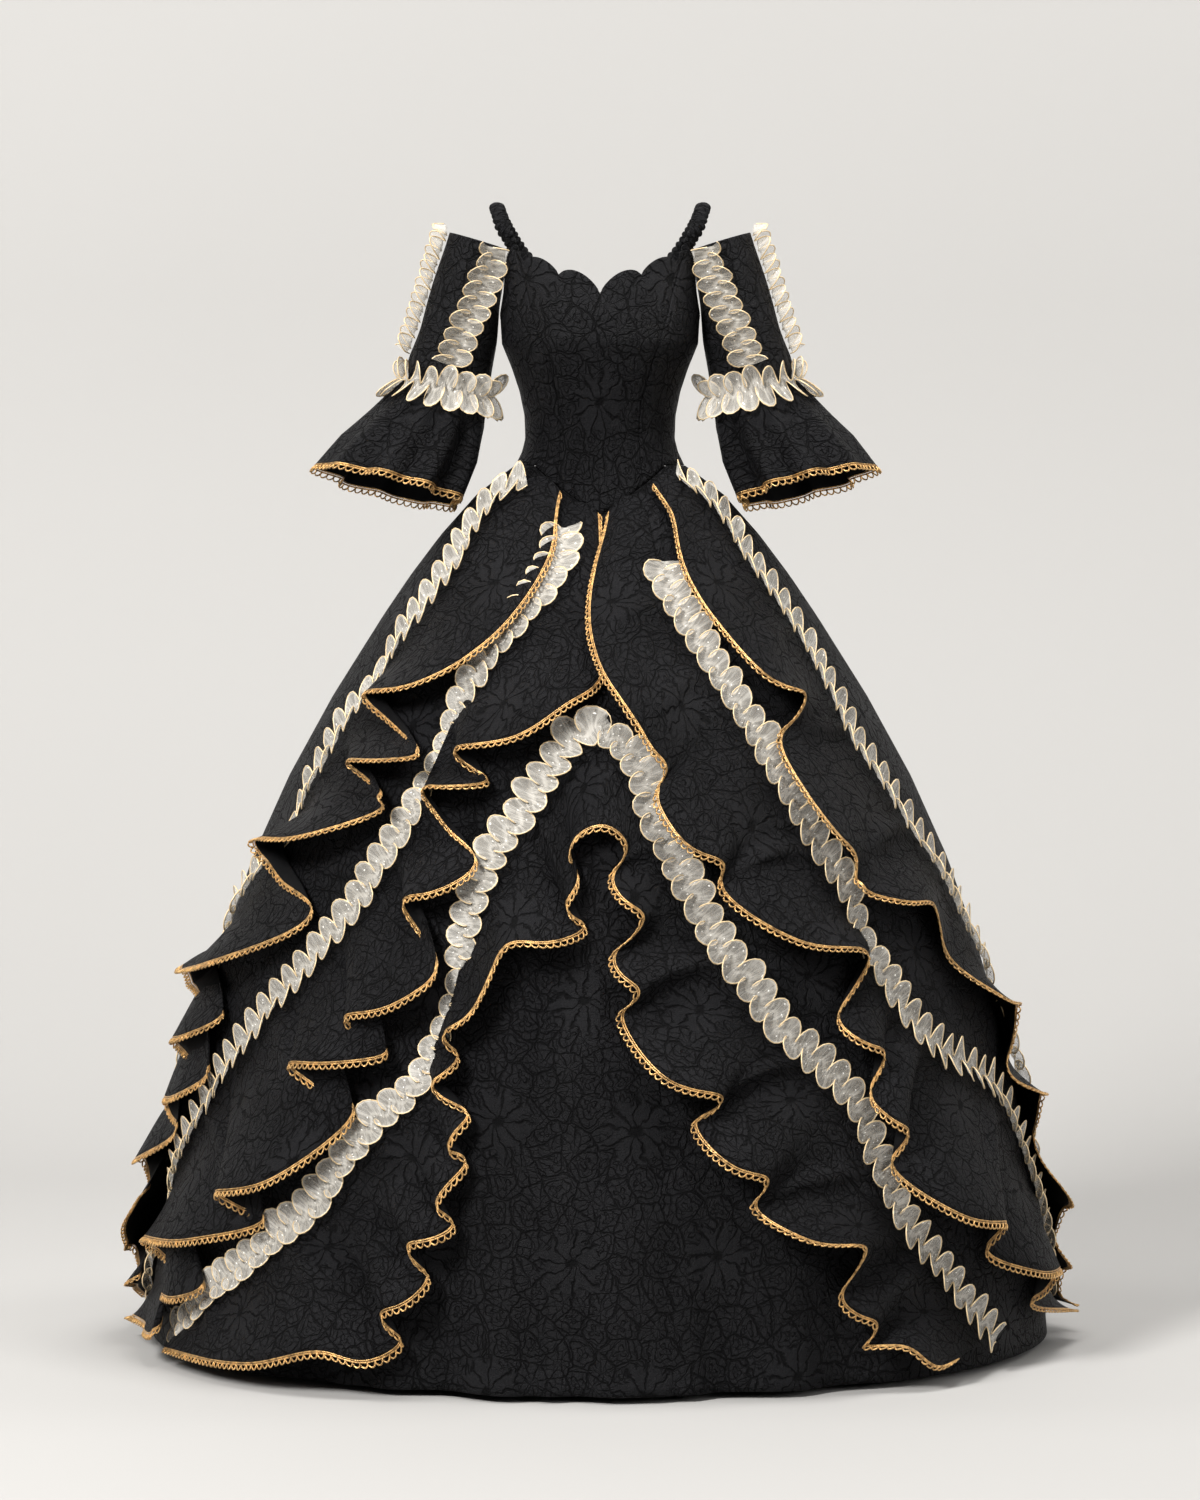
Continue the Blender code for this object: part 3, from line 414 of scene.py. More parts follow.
# Lobes of the neckline between its points, columns: azimuth and height of one point, of the next, rise mm.
# NECK_BEYOND is the plain edge past the lobes, columns: azimuth, height m
SCALLOPS = [(0, 1.296, 24, 1.319, 16), (24, 1.319, 49, 1.335, 15), (49, 1.335, 70, 1.334, 19)]
NECK_BEYOND = [
    (70, 1.334), (74, 1.308), (80, 1.285), (90, 1.272), (110, 1.280), (130, 1.308), (141, 1.320),
    (155, 1.312), (180, 1.306),
]

# Drag lines of the bodice, columns: azimuth, height, half width deg, half height mm, depth mm
BODICE_CREASES = [
    (-38, 1.135, 16, 6, 1.6), (36, 1.128, 15, 6, 1.5), (-20, 1.152, 14, 5, 1.0),
    (18, 1.158, 14, 5, 1.1), (60, 1.145, 16, 6, 1.5), (-62, 1.150, 16, 6, 1.5),
    (-70, 1.250, 10, 8, 1.4), (70, 1.245, 10, 8, 1.4), (120, 1.140, 20, 6, 1.6),
    (-124, 1.136, 20, 6, 1.6), (158, 1.150, 15, 6, 1.2), (-150, 1.155, 15, 6, 1.2),
]

# Spacing of the cloth's large flowers
FLOWER_ACROSS = 0.185
FLOWER_DOWN = 0.155

CAMERA_LENS = 134.4
WORLD_LIGHT = 0.10
LAMP_COLOUR = (1.0, 0.985, 0.96)
# Area lights, columns: name, place m, aimed at, size m, power W
LIGHTS = [
    ("key", (-3.0, -4.4, 3.0), (0.0, 0.0, -0.3), (1.4, 1.4), 520.0),
    ("fill", (3.8, -3.6, 0.8), (0.0, 0.0, -0.4), (2.0, 2.0), 70.0),
    ("top", (0.6, -0.6, 3.6), (0.0, 0.0, 0.0), (2.0, 1.4), 150.0),
    ("wall left", (-3.4, 0.6, 2.4), (-1.0, 3.0, 0.2), (2.0, 2.0), 60.0),
    ("wall right", (3.4, 0.6, 2.4), (1.0, 3.0, 0.2), (2.0, 2.0), 60.0),
]


def table_value(table, at, column):
    """Value of a column where the table's first column equals at, straight between its rows."""
    rows = sorted(table)
    return np.interp(at, [row[0] for row in rows], [row[column] for row in rows])


def waist_height(azimuth):
    """Height of the waist seam, which drops to a V at the front."""
    return SKIRT_TOP - WAIST_V_DROP * np.clip(1.0 - np.abs(azimuth) / WAIST_V_REACH, 0.0, 1.0)


def turn_apart(azimuth, centre):
    return (azimuth - centre + 180.0) % 360.0 - 180.0


def smooth_radius(azimuth, height):
    """Radius of the skirt over the crests of its folds."""
    drop = (SKIRT_TOP - FOLDS_START) / (waist_height(azimuth) - FOLDS_START)
    level = np.where(height > FOLDS_START, FOLDS_START + (height - FOLDS_START) * drop, height)
    return table_value(SKIRT_SECTIONS, level, 1)


def fold_depth(azimuth, height):
    """How deep the base skirt's folds lie under their crests, in m."""
    strength = np.clip((FOLDS_START - height) / FOLDS_START, 0.0, 1.0)
    depth = 0.0 * strength
    for centre, half_width, hem_depth in SKIRT_FOLDS:
        share = turn_apart(azimuth, centre) / half_width
        depth = depth + strength * hem_depth / 1000.0 * np.exp(-share * share)
    return depth


def skirt_point(azimuth, height, stand_out):
    """Points at an azimuth in degrees, a height above the floor and a stand-out in mm off the skirt."""
    radius = smooth_radius(azimuth, height) + stand_out / 1000.0
    slope = (1.0 - DEPTH_AT_WAIST) / (SKIRT_TOP - DEPTH_FULL_BELOW)
    depth = 1.0 - slope * np.clip(height - DEPTH_FULL_BELOW, 0.0, None)
    angle = np.radians(azimuth)
    return np.stack(
        [radius * np.sin(angle), -radius * depth * np.cos(angle), np.maximum(height, LOWEST)], axis=-1
    )


def smooth_course(rows, place):
    """A function of the way along a smooth curve through the rows; place turns rows into points."""
    rows = np.array(rows, float)
    steps = np.linalg.norm(np.diff(place(rows), axis=0), axis=1)
    knots = np.concatenate([[0.0], np.cumsum(np.sqrt(steps))])
    slopes = np.gradient(rows, knots, axis=0)

    def at(knot):
        knot = np.clip(knot, 0.0, knots[-1])
        i = np.clip(np.searchsorted(knots, knot, side="right") - 1, 0, len(rows) - 2)
        gap = (knots[i + 1] - knots[i])[:, None]
        t = ((knot - knots[i])[:, None]) / gap
        return (
            (2 * t**3 - 3 * t**2 + 1) * rows[i]
            + (t**3 - 2 * t**2 + t) * gap * slopes[i]
            + (3 * t**2 - 2 * t**3) * rows[i + 1]
            + (t**3 - t**2) * gap * slopes[i + 1]
        )

    return at, knots, steps


def along(rows, place, step):
    """Values along the smooth curve, each stretch between two rows cut into equal steps."""
    at, knots, lengths = smooth_course(rows, place)
    stops = [knots[0]]
    for start, end, length in zip(knots, knots[1:], lengths):
        count = max(1, round(length / step))
        stops += [start + (end - start) * (i + 1) / count for i in range(count)]
    return at(np.array(stops))


def on_skirt(rows):
    stand_out = rows[:, 2] if rows.shape[1] > 2 else 0.0 * rows[:, 0]
    return skirt_point(rows[:, 0], rows[:, 1], stand_out)


def edge_points(table, start=None):
    """Rows of azimuth, height and stand-out for a free edge. Each fold drops and swings out to its outer
    turn, then tucks back under itself to its inner turn."""
    rows = [start] if start else []
    for row in table:
        if len(row) == 3:
            rows.append(row)
            continue
        outer, outer_height, inner, inner_height, stand_out = row
        last, last_height = rows[-1][:2]
        rows.append(
            (
                last + (outer - last) * FRONT_SWING,
                last_height + (outer_height - last_height) * FRONT_FALL,
                stand_out,
            )
        )
        rows.append((outer, outer_height, 0.80 * stand_out))
        rows.append((0.5 * (outer + inner), 0.5 * (outer_height + inner_height) + 0.014, FOLD_BACK))
        rows.append((inner, inner_height, 0.30 * stand_out))
    return rows


def rising(values):
    """The closest list to values that never falls, by pooling neighbours that do."""
    pools = []
    for value in values:
        pools.append([value, 1])
        while len(pools) > 1 and pools[-2][0] > pools[-1][0]:
            top = pools.pop()
            under = pools.pop()
            count = top[1] + under[1]
            pools.append([(top[0] * top[1] + under[0] * under[1]) / count, count])
    return np.concatenate([np.full(count, value) for value, count in pools])


def matched_seam(seam, edge, stand_out):
    """For each point of the edge, the point of the seam its cloth hangs from."""
    fine = along(seam, on_skirt, 0.010)
    fine = np.column_stack([fine, np.full(len(fine), stand_out)])
    fine_points = on_skirt(fine)
    flat = on_skirt(np.column_stack([edge[:, :2], np.full(len(edge), stand_out)]))
    apart = np.linalg.norm(flat[:, None] - fine_points[None], axis=2)
    nearest = rising(apart.argmin(axis=1) / (len(fine) - 1.0))
    for _ in range(SEAM_SMOOTHING):
        ends = np.concatenate([[2 * nearest[0] - nearest[1]], nearest, [2 * nearest[-1] - nearest[-2]]])
        nearest = (ends[:-2] + ends[1:-1] + ends[2:]) / 3.0
    walked = np.concatenate([[0.0], np.cumsum(np.linalg.norm(np.diff(on_skirt(edge), axis=0), axis=1))])
    share = (1.0 - SEAM_EVENNESS) * nearest + SEAM_EVENNESS * walked / walked[-1]
    share = (share - share[0]) / (share[-1] - share[0])
    places = share * (len(fine) - 1.0)
    return np.stack([np.interp(places, range(len(fine)), fine[:, i]) for i in range(3)], axis=1)


def between(grid, rows_each, columns_each):
    """The grid with each of its cells cut into more rows and columns, straight between its own points."""
    row = np.arange((grid.shape[0] - 1) * rows_each + 1) / rows_each
    column = np.arange((grid.shape[1] - 1) * columns_each + 1) / columns_each
    i = np.minimum(row.astype(int), grid.shape[0] - 2)
    j = np.minimum(column.astype(int), grid.shape[1] - 2)
    down = (row - i)[:, None, None]
    across = (column - j)[None, :, None]
    upper = grid[i][:, j] * (1.0 - across) + grid[i][:, j + 1] * across
    lower = grid[i + 1][:, j] * (1.0 - across) + grid[i + 1][:, j + 1] * across
    return upper * (1.0 - down) + lower * down


class Layers:
    """The cloth laid on the skirt so far, as azimuth, height and stand-out of its outer face."""

    def __init__(self):
        self.rows = np.zeros((0, 3))

    def add(self, grid, rows_each, columns_each):
        self.rows = np.concatenate([self.rows, between(grid, rows_each, columns_each).reshape(-1, 3)])

    def height_of(self, azimuth, height, full, faded):
        """How far the cloth underneath pushes out what is laid over it, in mm."""
        if not len(self.rows):
            return np.zeros_like(azimuth)
        here = np.stack([azimuth.ravel(), height.ravel()], axis=1)
        radius = smooth_radius(here[:, 0], here[:, 1])
        across = np.radians(here[:, None, 0] - self.rows[None, :, 0]) * radius[:, None]
        away = np.hypot(across, 1.15 * (here[:, None, 1] - self.rows[None, :, 1]))
        fade = np.clip((faded - away) / (faded - full), 0.0, 1.0)
        fade = fade * fade * (3.0 - 2.0 * fade)
        push = fade * (self.rows[None, :, 2] + 1000.0 * LAYER_CLEARANCE)
        return push.max(axis=1).reshape(azimuth.shape)

    def laid_over(self, grid):
        """The grid pushed out where there is cloth under it; its own folds keep part of their depth."""
        under = self.height_of(grid[..., 0], grid[..., 1], LAYER_FULL, LAYER_FADE)
        raised = np.where(under > 0.0, under + LAYER_KEEP * grid[..., 2], 0.0)
        moved = grid.copy()
        moved[..., 2] = np.maximum(grid[..., 2], raised)
        return moved


def flounce_grid(seam, edge, stand_out):
    """Azimuth, height and stand-out of a flounce, in rows from its seam to its braid's two edges."""
    seam = matched_seam(seam, edge, stand_out)
    width = np.linalg.norm(on_skirt(edge) - on_skirt(seam), axis=1)
    shares = [np.full(len(edge), share) for share in FLOUNCE_ROWS]
    shares += [1.0 - BRAID_WIDTH / width, np.ones(len(edge))]
    grid = []
    for share in shares:
        line = seam + (edge - seam) * share[:, None]
        line[:, 2] = seam[:, 2] + (edge[:, 2] - seam[:, 2]) * share**STAND_OUT_POWER
        grid.append(line)
    return np.array(grid)


def bodice_point(azimuth, height):
    waist = waist_height(azimuth)
    level = np.where(height < 1.12, 1.12 - (1.12 - height) * (1.12 - SKIRT_TOP) / (1.12 - waist), height)
    half_width = table_value(BODICE_SECTIONS, level, 1)
    front = table_value(BODICE_SECTIONS, level, 2)
    back = table_value(BODICE_SECTIONS, level, 3)
    angle = np.radians(azimuth)
    depth = np.where(np.abs(azimuth) < 90.0, front, back)
    return np.stack([half_width * np.sin(angle), -depth * np.cos(angle), height], axis=-1)


def princess(share):
    return table_value(PRINCESS_SEAM, share, 1)


def limb_point(side, angle, height, stand_out):
    """Points on the sleeve and its bell: angle in degrees from the front towards the outer side, height of
    the ring's centre, stand-out in mm."""
    rows = [(*row, 0.0, 0.0) for row in SLEEVE_SECTIONS] + BELL_SECTIONS
    values = (table_value(rows, height, i) for i in range(1, 7))
    centre, half_width, half_depth, tilt, back_tilt, forward = values
    top = SLEEVE_SECTIONS[-1][0]
    low = BELL_SECTIONS[-1][0]
    strength = np.clip((top - height) / (top - low), 0.0, 1.0)
    dip = 0.0 * (angle + height)
    for fold, width, depth in BELL_FOLDS:
        share = turn_apart(angle, fold) / width
        dip = dip + strength * depth / 1000.0 * np.exp(-share * share)
    turn = np.radians(angle)
    out = stand_out / 1000.0 - dip
    narrower = LEFT_BELL_NARROWER * strength if side == "left" else 0.0
    across = -(half_width - narrower + out) * np.sin(turn)
    deep = -(half_depth + out) * np.cos(turn)
    x = centre + narrower + across
    z = height + tilt * across + back_tilt * deep
    sign = -1.0 if side == "left" else 1.0
    return np.stack([sign * x, deep + forward, z], axis=-1)


def skirt_normals(grid):
    """Directions straight out of the skirt."""
    azimuth = np.radians(grid[..., 0])
    lean = smooth_radius(grid[..., 0], grid[..., 1] - 0.02) - smooth_radius(grid[..., 0], grid[..., 1])
    lean = lean / 0.02
    normals = np.stack([np.sin(azimuth), -np.cos(azimuth), lean], axis=-1)
    return normals / np.linalg.norm(normals, axis=-1, keepdims=True)


def smooth_columns(values, shares, at):
    """Rows of values given at shares, read at other shares on a smooth curve."""
    shares = np.asarray(shares, float)
    slopes = np.gradient(values, shares, axis=0)
    i = np.clip(np.searchsorted(shares, at, side="right") - 1, 0, len(shares) - 2)
    gap = (shares[i + 1] - shares[i]).reshape((-1,) + (1,) * (values.ndim - 1))
    t = (at - shares[i]).reshape(gap.shape) / gap
    return (
        (2 * t**3 - 3 * t**2 + 1) * values[i]
        + (t**3 - 2 * t**2 + t) * gap * slopes[i]
        + (3 * t**2 - 2 * t**3) * values[i + 1]
        + (t**3 - t**2) * gap * slopes[i + 1]
    )


def walked(points):
    """Distance walked along the first axis of an array of points."""
    steps = np.linalg.norm(np.diff(points, axis=0), axis=-1)
    return np.concatenate([np.zeros((1,) + steps.shape[1:]), np.cumsum(steps, axis=0)])


def plain_normals(points, closed):
    """Normals of a fine grid, facing away from the garment's middle."""
    down = np.gradient(points, axis=0)
    if closed:
        steps = np.roll(points, -1, axis=1) - np.roll(points, 1, axis=1)
    else:
        steps = np.gradient(points, axis=1)
    normals = np.cross(steps, down)
    normals /= np.maximum(np.linalg.norm(normals, axis=2, keepdims=True), 1e-12)
    facing = (normals * (points - points.mean(axis=(0, 1)) * np.array([0.5, 0.5, 1.0]))).sum()
    return normals if facing > 0 else -normals


def mesh_of(name, points, quads, corners_uv, material_index, materials, smooth_to):
    """A mesh object from arrays of points, four-sided faces and the cloth place of each corner, in m."""
    mesh = bpy.data.meshes.new(name)
    mesh.vertices.add(len(points))
    shifted = np.asarray(points, float) - np.array([0.0, 0.0, WAIST_HEIGHT])
    mesh.vertices.foreach_set("co", shifted.astype(np.float32).ravel())
    mesh.loops.add(4 * len(quads))
    mesh.loops.foreach_set("vertex_index", quads.astype(np.int32).ravel())
    mesh.polygons.add(len(quads))
    mesh.polygons.foreach_set("loop_start", np.arange(0, 4 * len(quads), 4, dtype=np.int32))
    mesh.polygons.foreach_set("material_index", material_index.astype(np.int32))
    smooth = np.zeros(len(quads), bool)
    smooth[:smooth_to] = True
    mesh.polygons.foreach_set("use_smooth", smooth)
    layer = mesh.uv_layers.new(name="cloth")
    layer.data.foreach_set("uv", corners_uv.astype(np.float32).ravel())
    for look in materials:
        mesh.materials.append(look)
    mesh.update(calc_edges=True)
    mesh.validate()
    made = bpy.data.objects.new(name, mesh)
    bpy.context.scene.collection.objects.link(made)
    return made


def shell(name, points, thickness, looks, uv, closed=False, normals=None):
    """A thin cloth round a fine grid of points. looks are the materials of its face and its reverse; uv is
    the cloth place of every grid point, or of the left and right side of every column of faces."""
    rows, columns = points.shape[:2]
    if normals is None:
        normals = plain_normals(points, closed)
    offset = 0.5 * thickness * normals
    corners = np.concatenate([(points + offset).reshape(-1, 3), (points - offset).reshape(-1, 3)])
    if not isinstance(uv, tuple):
        uv = (uv[:, :-1], uv[:, 1:])
    left, right = uv
    span = columns if closed else columns - 1
    r, c = np.meshgrid(np.arange(rows - 1), np.arange(span), indexing="ij")
    a = (r * columns + c).ravel()
    b = (r * columns + (c + 1) % columns).ravel()
    d = ((r + 1) * columns + c).ravel()
    e = ((r + 1) * columns + (c + 1) % columns).ravel()
    face = np.stack([a, b, e, d], axis=1)
    place = np.stack([left[:-1, :span], right[:-1, :span], right[1:, :span], left[1:, :span]], axis=2)
    place = place.reshape(-1, 4, 2)
    one = points.reshape(-1, 3)
    sample = one[face[:, 0]]
    lean = np.cross(one[face[:, 1]] - sample, one[face[:, 3]] - sample)
    if (lean * normals.reshape(-1, 3)[face[:, 0]]).sum() < 0:
        face = face[:, ::-1]
        place = place[:, ::-1]
    under = rows * columns
    quads = [face, face[:, ::-1] + under]
    places = [place, place[:, ::-1]]
    flipped = face[0, 0] != a[0]
    rims = []
    top = np.stack([a[:span], b[:span]], axis=1)
    last = np.stack([e[-span:], d[-span:]], axis=1)
    rims += [(top, place[:span]), (last, place[-span:])]
    if not closed:
        first = np.stack([d[::span], a[::span]], axis=1)
        end = np.stack([b[span - 1 :: span], e[span - 1 :: span]], axis=1)
        rims += [(first, place[::span]), (end, place[span - 1 :: span])]
    for pair, where in rims:
        rim = np.stack([pair[:, 1], pair[:, 0], pair[:, 0] + under, pair[:, 1] + under], axis=1)
        quads.append(rim[:, ::-1] if flipped else rim)
        places.append(where)
    smooth_to = 2 * len(face)
    quads = np.concatenate(quads)
    index = np.zeros(len(quads), int)
    index[len(face) : smooth_to] = 1
    return mesh_of(name, corners, quads, np.concatenate(places), index, looks, smooth_to)


def sized_sheet(points, closed, flat_width=None):
    if flat_width:
        return
    ring = np.concatenate([points, points[:, :1]], axis=1) if closed else points
    width = walked(np.swapaxes(ring, 0, 1))[-1].max()
    length = walked(points)[-1].max()


def finished(piece, node):
    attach(piece, "root")
    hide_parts(node)
    return piece


# Cords along paths, made by one Geometry Nodes tree
def cord_tree():
    tree = bpy.data.node_groups.new("cord on a path", "GeometryNodeTree")
    face = tree.interface
    face.new_socket("Geometry", in_out="INPUT", socket_type="NodeSocketGeometry")
    radius = face.new_socket("Cord radius", in_out="INPUT", socket_type="NodeSocketFloat")
    radius.default_value = 0.001
    sides = face.new_socket("Sides", in_out="INPUT", socket_type="NodeSocketInt")
    sides.default_value = 5
    look = face.new_socket("Material", in_out="INPUT", socket_type="NodeSocketMaterial")
    face.new_socket("Geometry", in_out="OUTPUT", socket_type="NodeSocketGeometry")
    nodes, links = tree.nodes, tree.links
    start = nodes.new("NodeGroupInput")
    end = nodes.new("NodeGroupOutput")
    curve = nodes.new("GeometryNodeMeshToCurve")
    ring = nodes.new("GeometryNodeCurvePrimitiveCircle")
    tube = nodes.new("GeometryNodeCurveToMesh")
    tube.inputs["Fill Caps"].default_value = True
    smooth = nodes.new("GeometryNodeSetShadeSmooth")
    real = nodes.new("GeometryNodeRealizeInstances")
    paint = nodes.new("GeometryNodeSetMaterial")
    links.new(start.outputs["Geometry"], curve.inputs["Mesh"])
    links.new(start.outputs["Cord radius"], ring.inputs["Radius"])
    links.new(start.outputs["Sides"], ring.inputs["Resolution"])
    links.new(curve.outputs["Curve"], tube.inputs["Curve"])
    links.new(ring.outputs["Curve"], tube.inputs["Profile Curve"])
    links.new(tube.outputs["Mesh"], smooth.inputs["Geometry"])
    links.new(smooth.outputs["Geometry"], real.inputs["Geometry"])
    links.new(real.outputs["Geometry"], paint.inputs["Geometry"])
    links.new(start.outputs["Material"], paint.inputs["Material"])
    links.new(paint.outputs["Geometry"], end.inputs["Geometry"])
    return tree, {"radius": radius.identifier, "sides": sides.identifier, "look": look.identifier}


CORD_TREE, CORD_INPUTS = cord_tree()


def cords(name, paths, radius, sides, look, closed=False):
    """One mesh object of round cords, one along each path of points."""
    points = np.concatenate(paths)
    edges = []
    start = 0
    for path in paths:
        index = np.arange(start, start + len(path))
        edges.append(np.stack([index[:-1], index[1:]], axis=1))
        if closed:
            edges.append(np.array([[index[-1], index[0]]]))
        start += len(path)
    edges = np.concatenate(edges)
    mesh = bpy.data.meshes.new(name + "_paths")
    mesh.vertices.add(len(points))
    shifted = points - np.array([0.0, 0.0, WAIST_HEIGHT])
    mesh.vertices.foreach_set("co", shifted.astype(np.float32).ravel())
    mesh.edges.add(len(edges))
    mesh.edges.foreach_set("vertices", edges.astype(np.int32).ravel())
    mesh.update()
    made = bpy.data.objects.new(name, mesh)
    bpy.context.scene.collection.objects.link(made)
    modifier = made.modifiers.new("cords", "NODES")
    modifier.node_group = CORD_TREE
    modifier[CORD_INPUTS["radius"]] = radius
    modifier[CORD_INPUTS["sides"]] = sides
    modifier[CORD_INPUTS["look"]] = look
    graph = bpy.context.evaluated_depsgraph_get()
    result = bpy.data.meshes.new_from_object(made.evaluated_get(graph), depsgraph=graph)
    made.modifiers.remove(modifier)
    made.data = result
    bpy.data.meshes.remove(mesh)
    return made


def joined(first, others):
    """The pieces as one object, named as the first."""
    bpy.ops.object.select_all(action="DESELECT")
    for one in [first] + others:
        one.select_set(True)
    bpy.context.view_layer.objects.active = first
    bpy.ops.object.join()
    return first


def braid(name, node, line, down, closed=False):
    """Gold braid along an edge: line is where the cloth ends, down the direction towards the free edge. Two
    straight cords, then a cord of open scallops."""
    down = down / np.linalg.norm(down, axis=1, keepdims=True)
    if closed:
        line = np.concatenate([line, line[:1]])
        down = np.concatenate([down, down[:1]])
    length = walked(line)
    total = length[-1]
    loops = max(2, int(round(total / BRAID_PITCH)))
    paths = []
    at = np.linspace(0.0, total, loops * 4 + 1)
    for across in BRAID_CORDS:
        paths.append((at, np.full(len(at), across), 0.0 * at))
    turn = np.linspace(0.0, 2.0 * math.pi * loops, loops * 12 + 1)
    along_run = turn / (2.0 * math.pi) * (total / loops) - SCALLOP_LEAN * np.sin(turn)
    paths.append((along_run, SCALLOP_MIDDLE - SCALLOP_DEPTH * np.cos(turn), SCALLOP_LIFT * np.sin(turn)))
    made = []
    for at, across, lift in paths:
        read = np.clip(at, 0.0, total)
        here = np.stack([np.interp(read, length, line[:, i]) for i in range(3)], axis=1)
        way = np.stack([np.interp(read, length, down[:, i]) for i in range(3)], axis=1)
        way /= np.linalg.norm(way, axis=1, keepdims=True)
        run = np.gradient(here, axis=0)
        out = np.cross(run, way)
        out /= np.maximum(np.linalg.norm(out, axis=1, keepdims=True), 1e-9)
        path = here + way * across[:, None] + out * lift[:, None]
        made.append(path[:-1] if closed else path)
    straight = cords(name, made[:2], BRAID_RADIUS, 4, GOLD_LOOK, closed)
    scallop = cords(name + "_scallops", made[2:], SCALLOP_RADIUS, 4, GOLD_LOOK, closed)
    piece = joined(straight, [scallop])
    return finished(piece, node)


def ribbon(name, node, line, half_width, pitch, height, closed=False, seed=0, calm=None):
    """A gathered organza ribbon. line holds its centre line, the way across it and the way out of it. Both
    its edges stand in round lobes, those of one side between those of the other, and a fine wire runs in
    each."""
    centre, across, out = line
    length = walked(centre)
    total = length[-1]
    lobes = max(2, int(round(total / pitch)))
    count = lobes * RIBBON_STEPS + (0 if closed else 1)
    at = np.arange(count) * total / (lobes * RIBBON_STEPS)
    if closed:
        centre = np.concatenate([centre, centre[:1]])
        across = np.concatenate([across, across[:1]])
        out = np.concatenate([out, out[:1]])
        length = walked(centre)
        total = length[-1]
        at = np.arange(count) * total / (lobes * RIBBON_STEPS)
    swing = np.random.default_rng(seed)
    shares = np.linspace(-1.0, 1.0, RIBBON_ROWS)
    lively = np.ones(count) if calm is None else 1.0 - np.interp(at, length, calm)
    uneven = swing.normal(0.0, 1.0, (2, lobes + 2))
    uneven_phase = swing.normal(0.0, 0.50, (2, lobes + 2))
    if closed:
        uneven[:, lobes:] = uneven[:, :2]
        uneven_phase[:, lobes:] = uneven_phase[:, :2]
    rows = []
    for share in shares:
        side = 1 if share > 0 else 0
        place = np.arange(count) / RIBBON_STEPS
        nudge = np.interp(place, np.arange(lobes + 2), uneven_phase[side])
        size = 1.0 + 0.13 * np.interp(place, np.arange(lobes + 2), uneven[side])
        phase = 2.0 * math.pi * place + (math.pi if side else 0.0) + nudge
        far = abs(share)
        lobe = (0.5 - 0.5 * np.cos(phase)) ** 0.75
        reach = half_width * size * (0.30 + 0.66 * lobe) * far * (0.6 + 0.4 * lively)
        wander = np.interp(place, np.arange(lobes + 2), uneven[0] + uneven[1])
        sway = half_width * (0.30 * np.cos(2.0 * math.pi * place + 0.4 * nudge) + 0.06 * wander)
        slide = -0.25 * pitch * np.sin(phase) * far**1.3
        rise = height * lively * (0.46 - 0.34 * np.cos(phase) + 0.46 * np.sin(phase)) * far**1.1
        gather = 0.0006 * np.sin(3.0 * phase + 5.0 * far) * (1.0 - far)
        read = np.clip(at + slide, 0.0, total) if not closed else (at + slide) % total
        here = np.stack([np.interp(read, length, centre[:, i]) for i in range(3)], axis=1)
        way = np.stack([np.interp(read, length, across[:, i]) for i in range(3)], axis=1)
        away = np.stack([np.interp(read, length, out[:, i]) for i in range(3)], axis=1)
        aside = way * (math.copysign(1.0, share) * reach + sway)[:, None]
        rows.append(here + aside + away * (rise + gather + 0.0007)[:, None])
    points = np.array(rows)
    v = np.broadcast_to((shares * half_width)[:, None], (RIBBON_ROWS, count + 1))
    u = np.broadcast_to(np.arange(count + 1) * (1.7 * pitch / RIBBON_STEPS), v.shape)
    uv = np.stack([u, v], axis=2)
    if not closed:
        uv = uv[:, :count]
    cloth = shell(name, points, ORGANZA, [ORGANZA_LOOK, ORGANZA_LOOK], uv, closed)
    wires = cords(name + "_wire", [points[0], points[-1]], WIRE_RADIUS, 4, WIRE_LOOK, closed)
    piece = finished(joined(cloth, [wires]), node)
    sized_sheet(points, closed, 2.0 * half_width)
    return piece


# Materials
def group(name, inputs, outputs):
    tree = bpy.data.node_groups.new(name, "ShaderNodeTree")
    for label, kind in inputs:
        tree.interface.new_socket(label, in_out="INPUT", socket_type=kind)
    for label, kind in outputs:
        tree.interface.new_socket(label, in_out="OUTPUT", socket_type=kind)
    return tree, tree.nodes.new("NodeGroupInput"), tree.nodes.new("NodeGroupOutput")


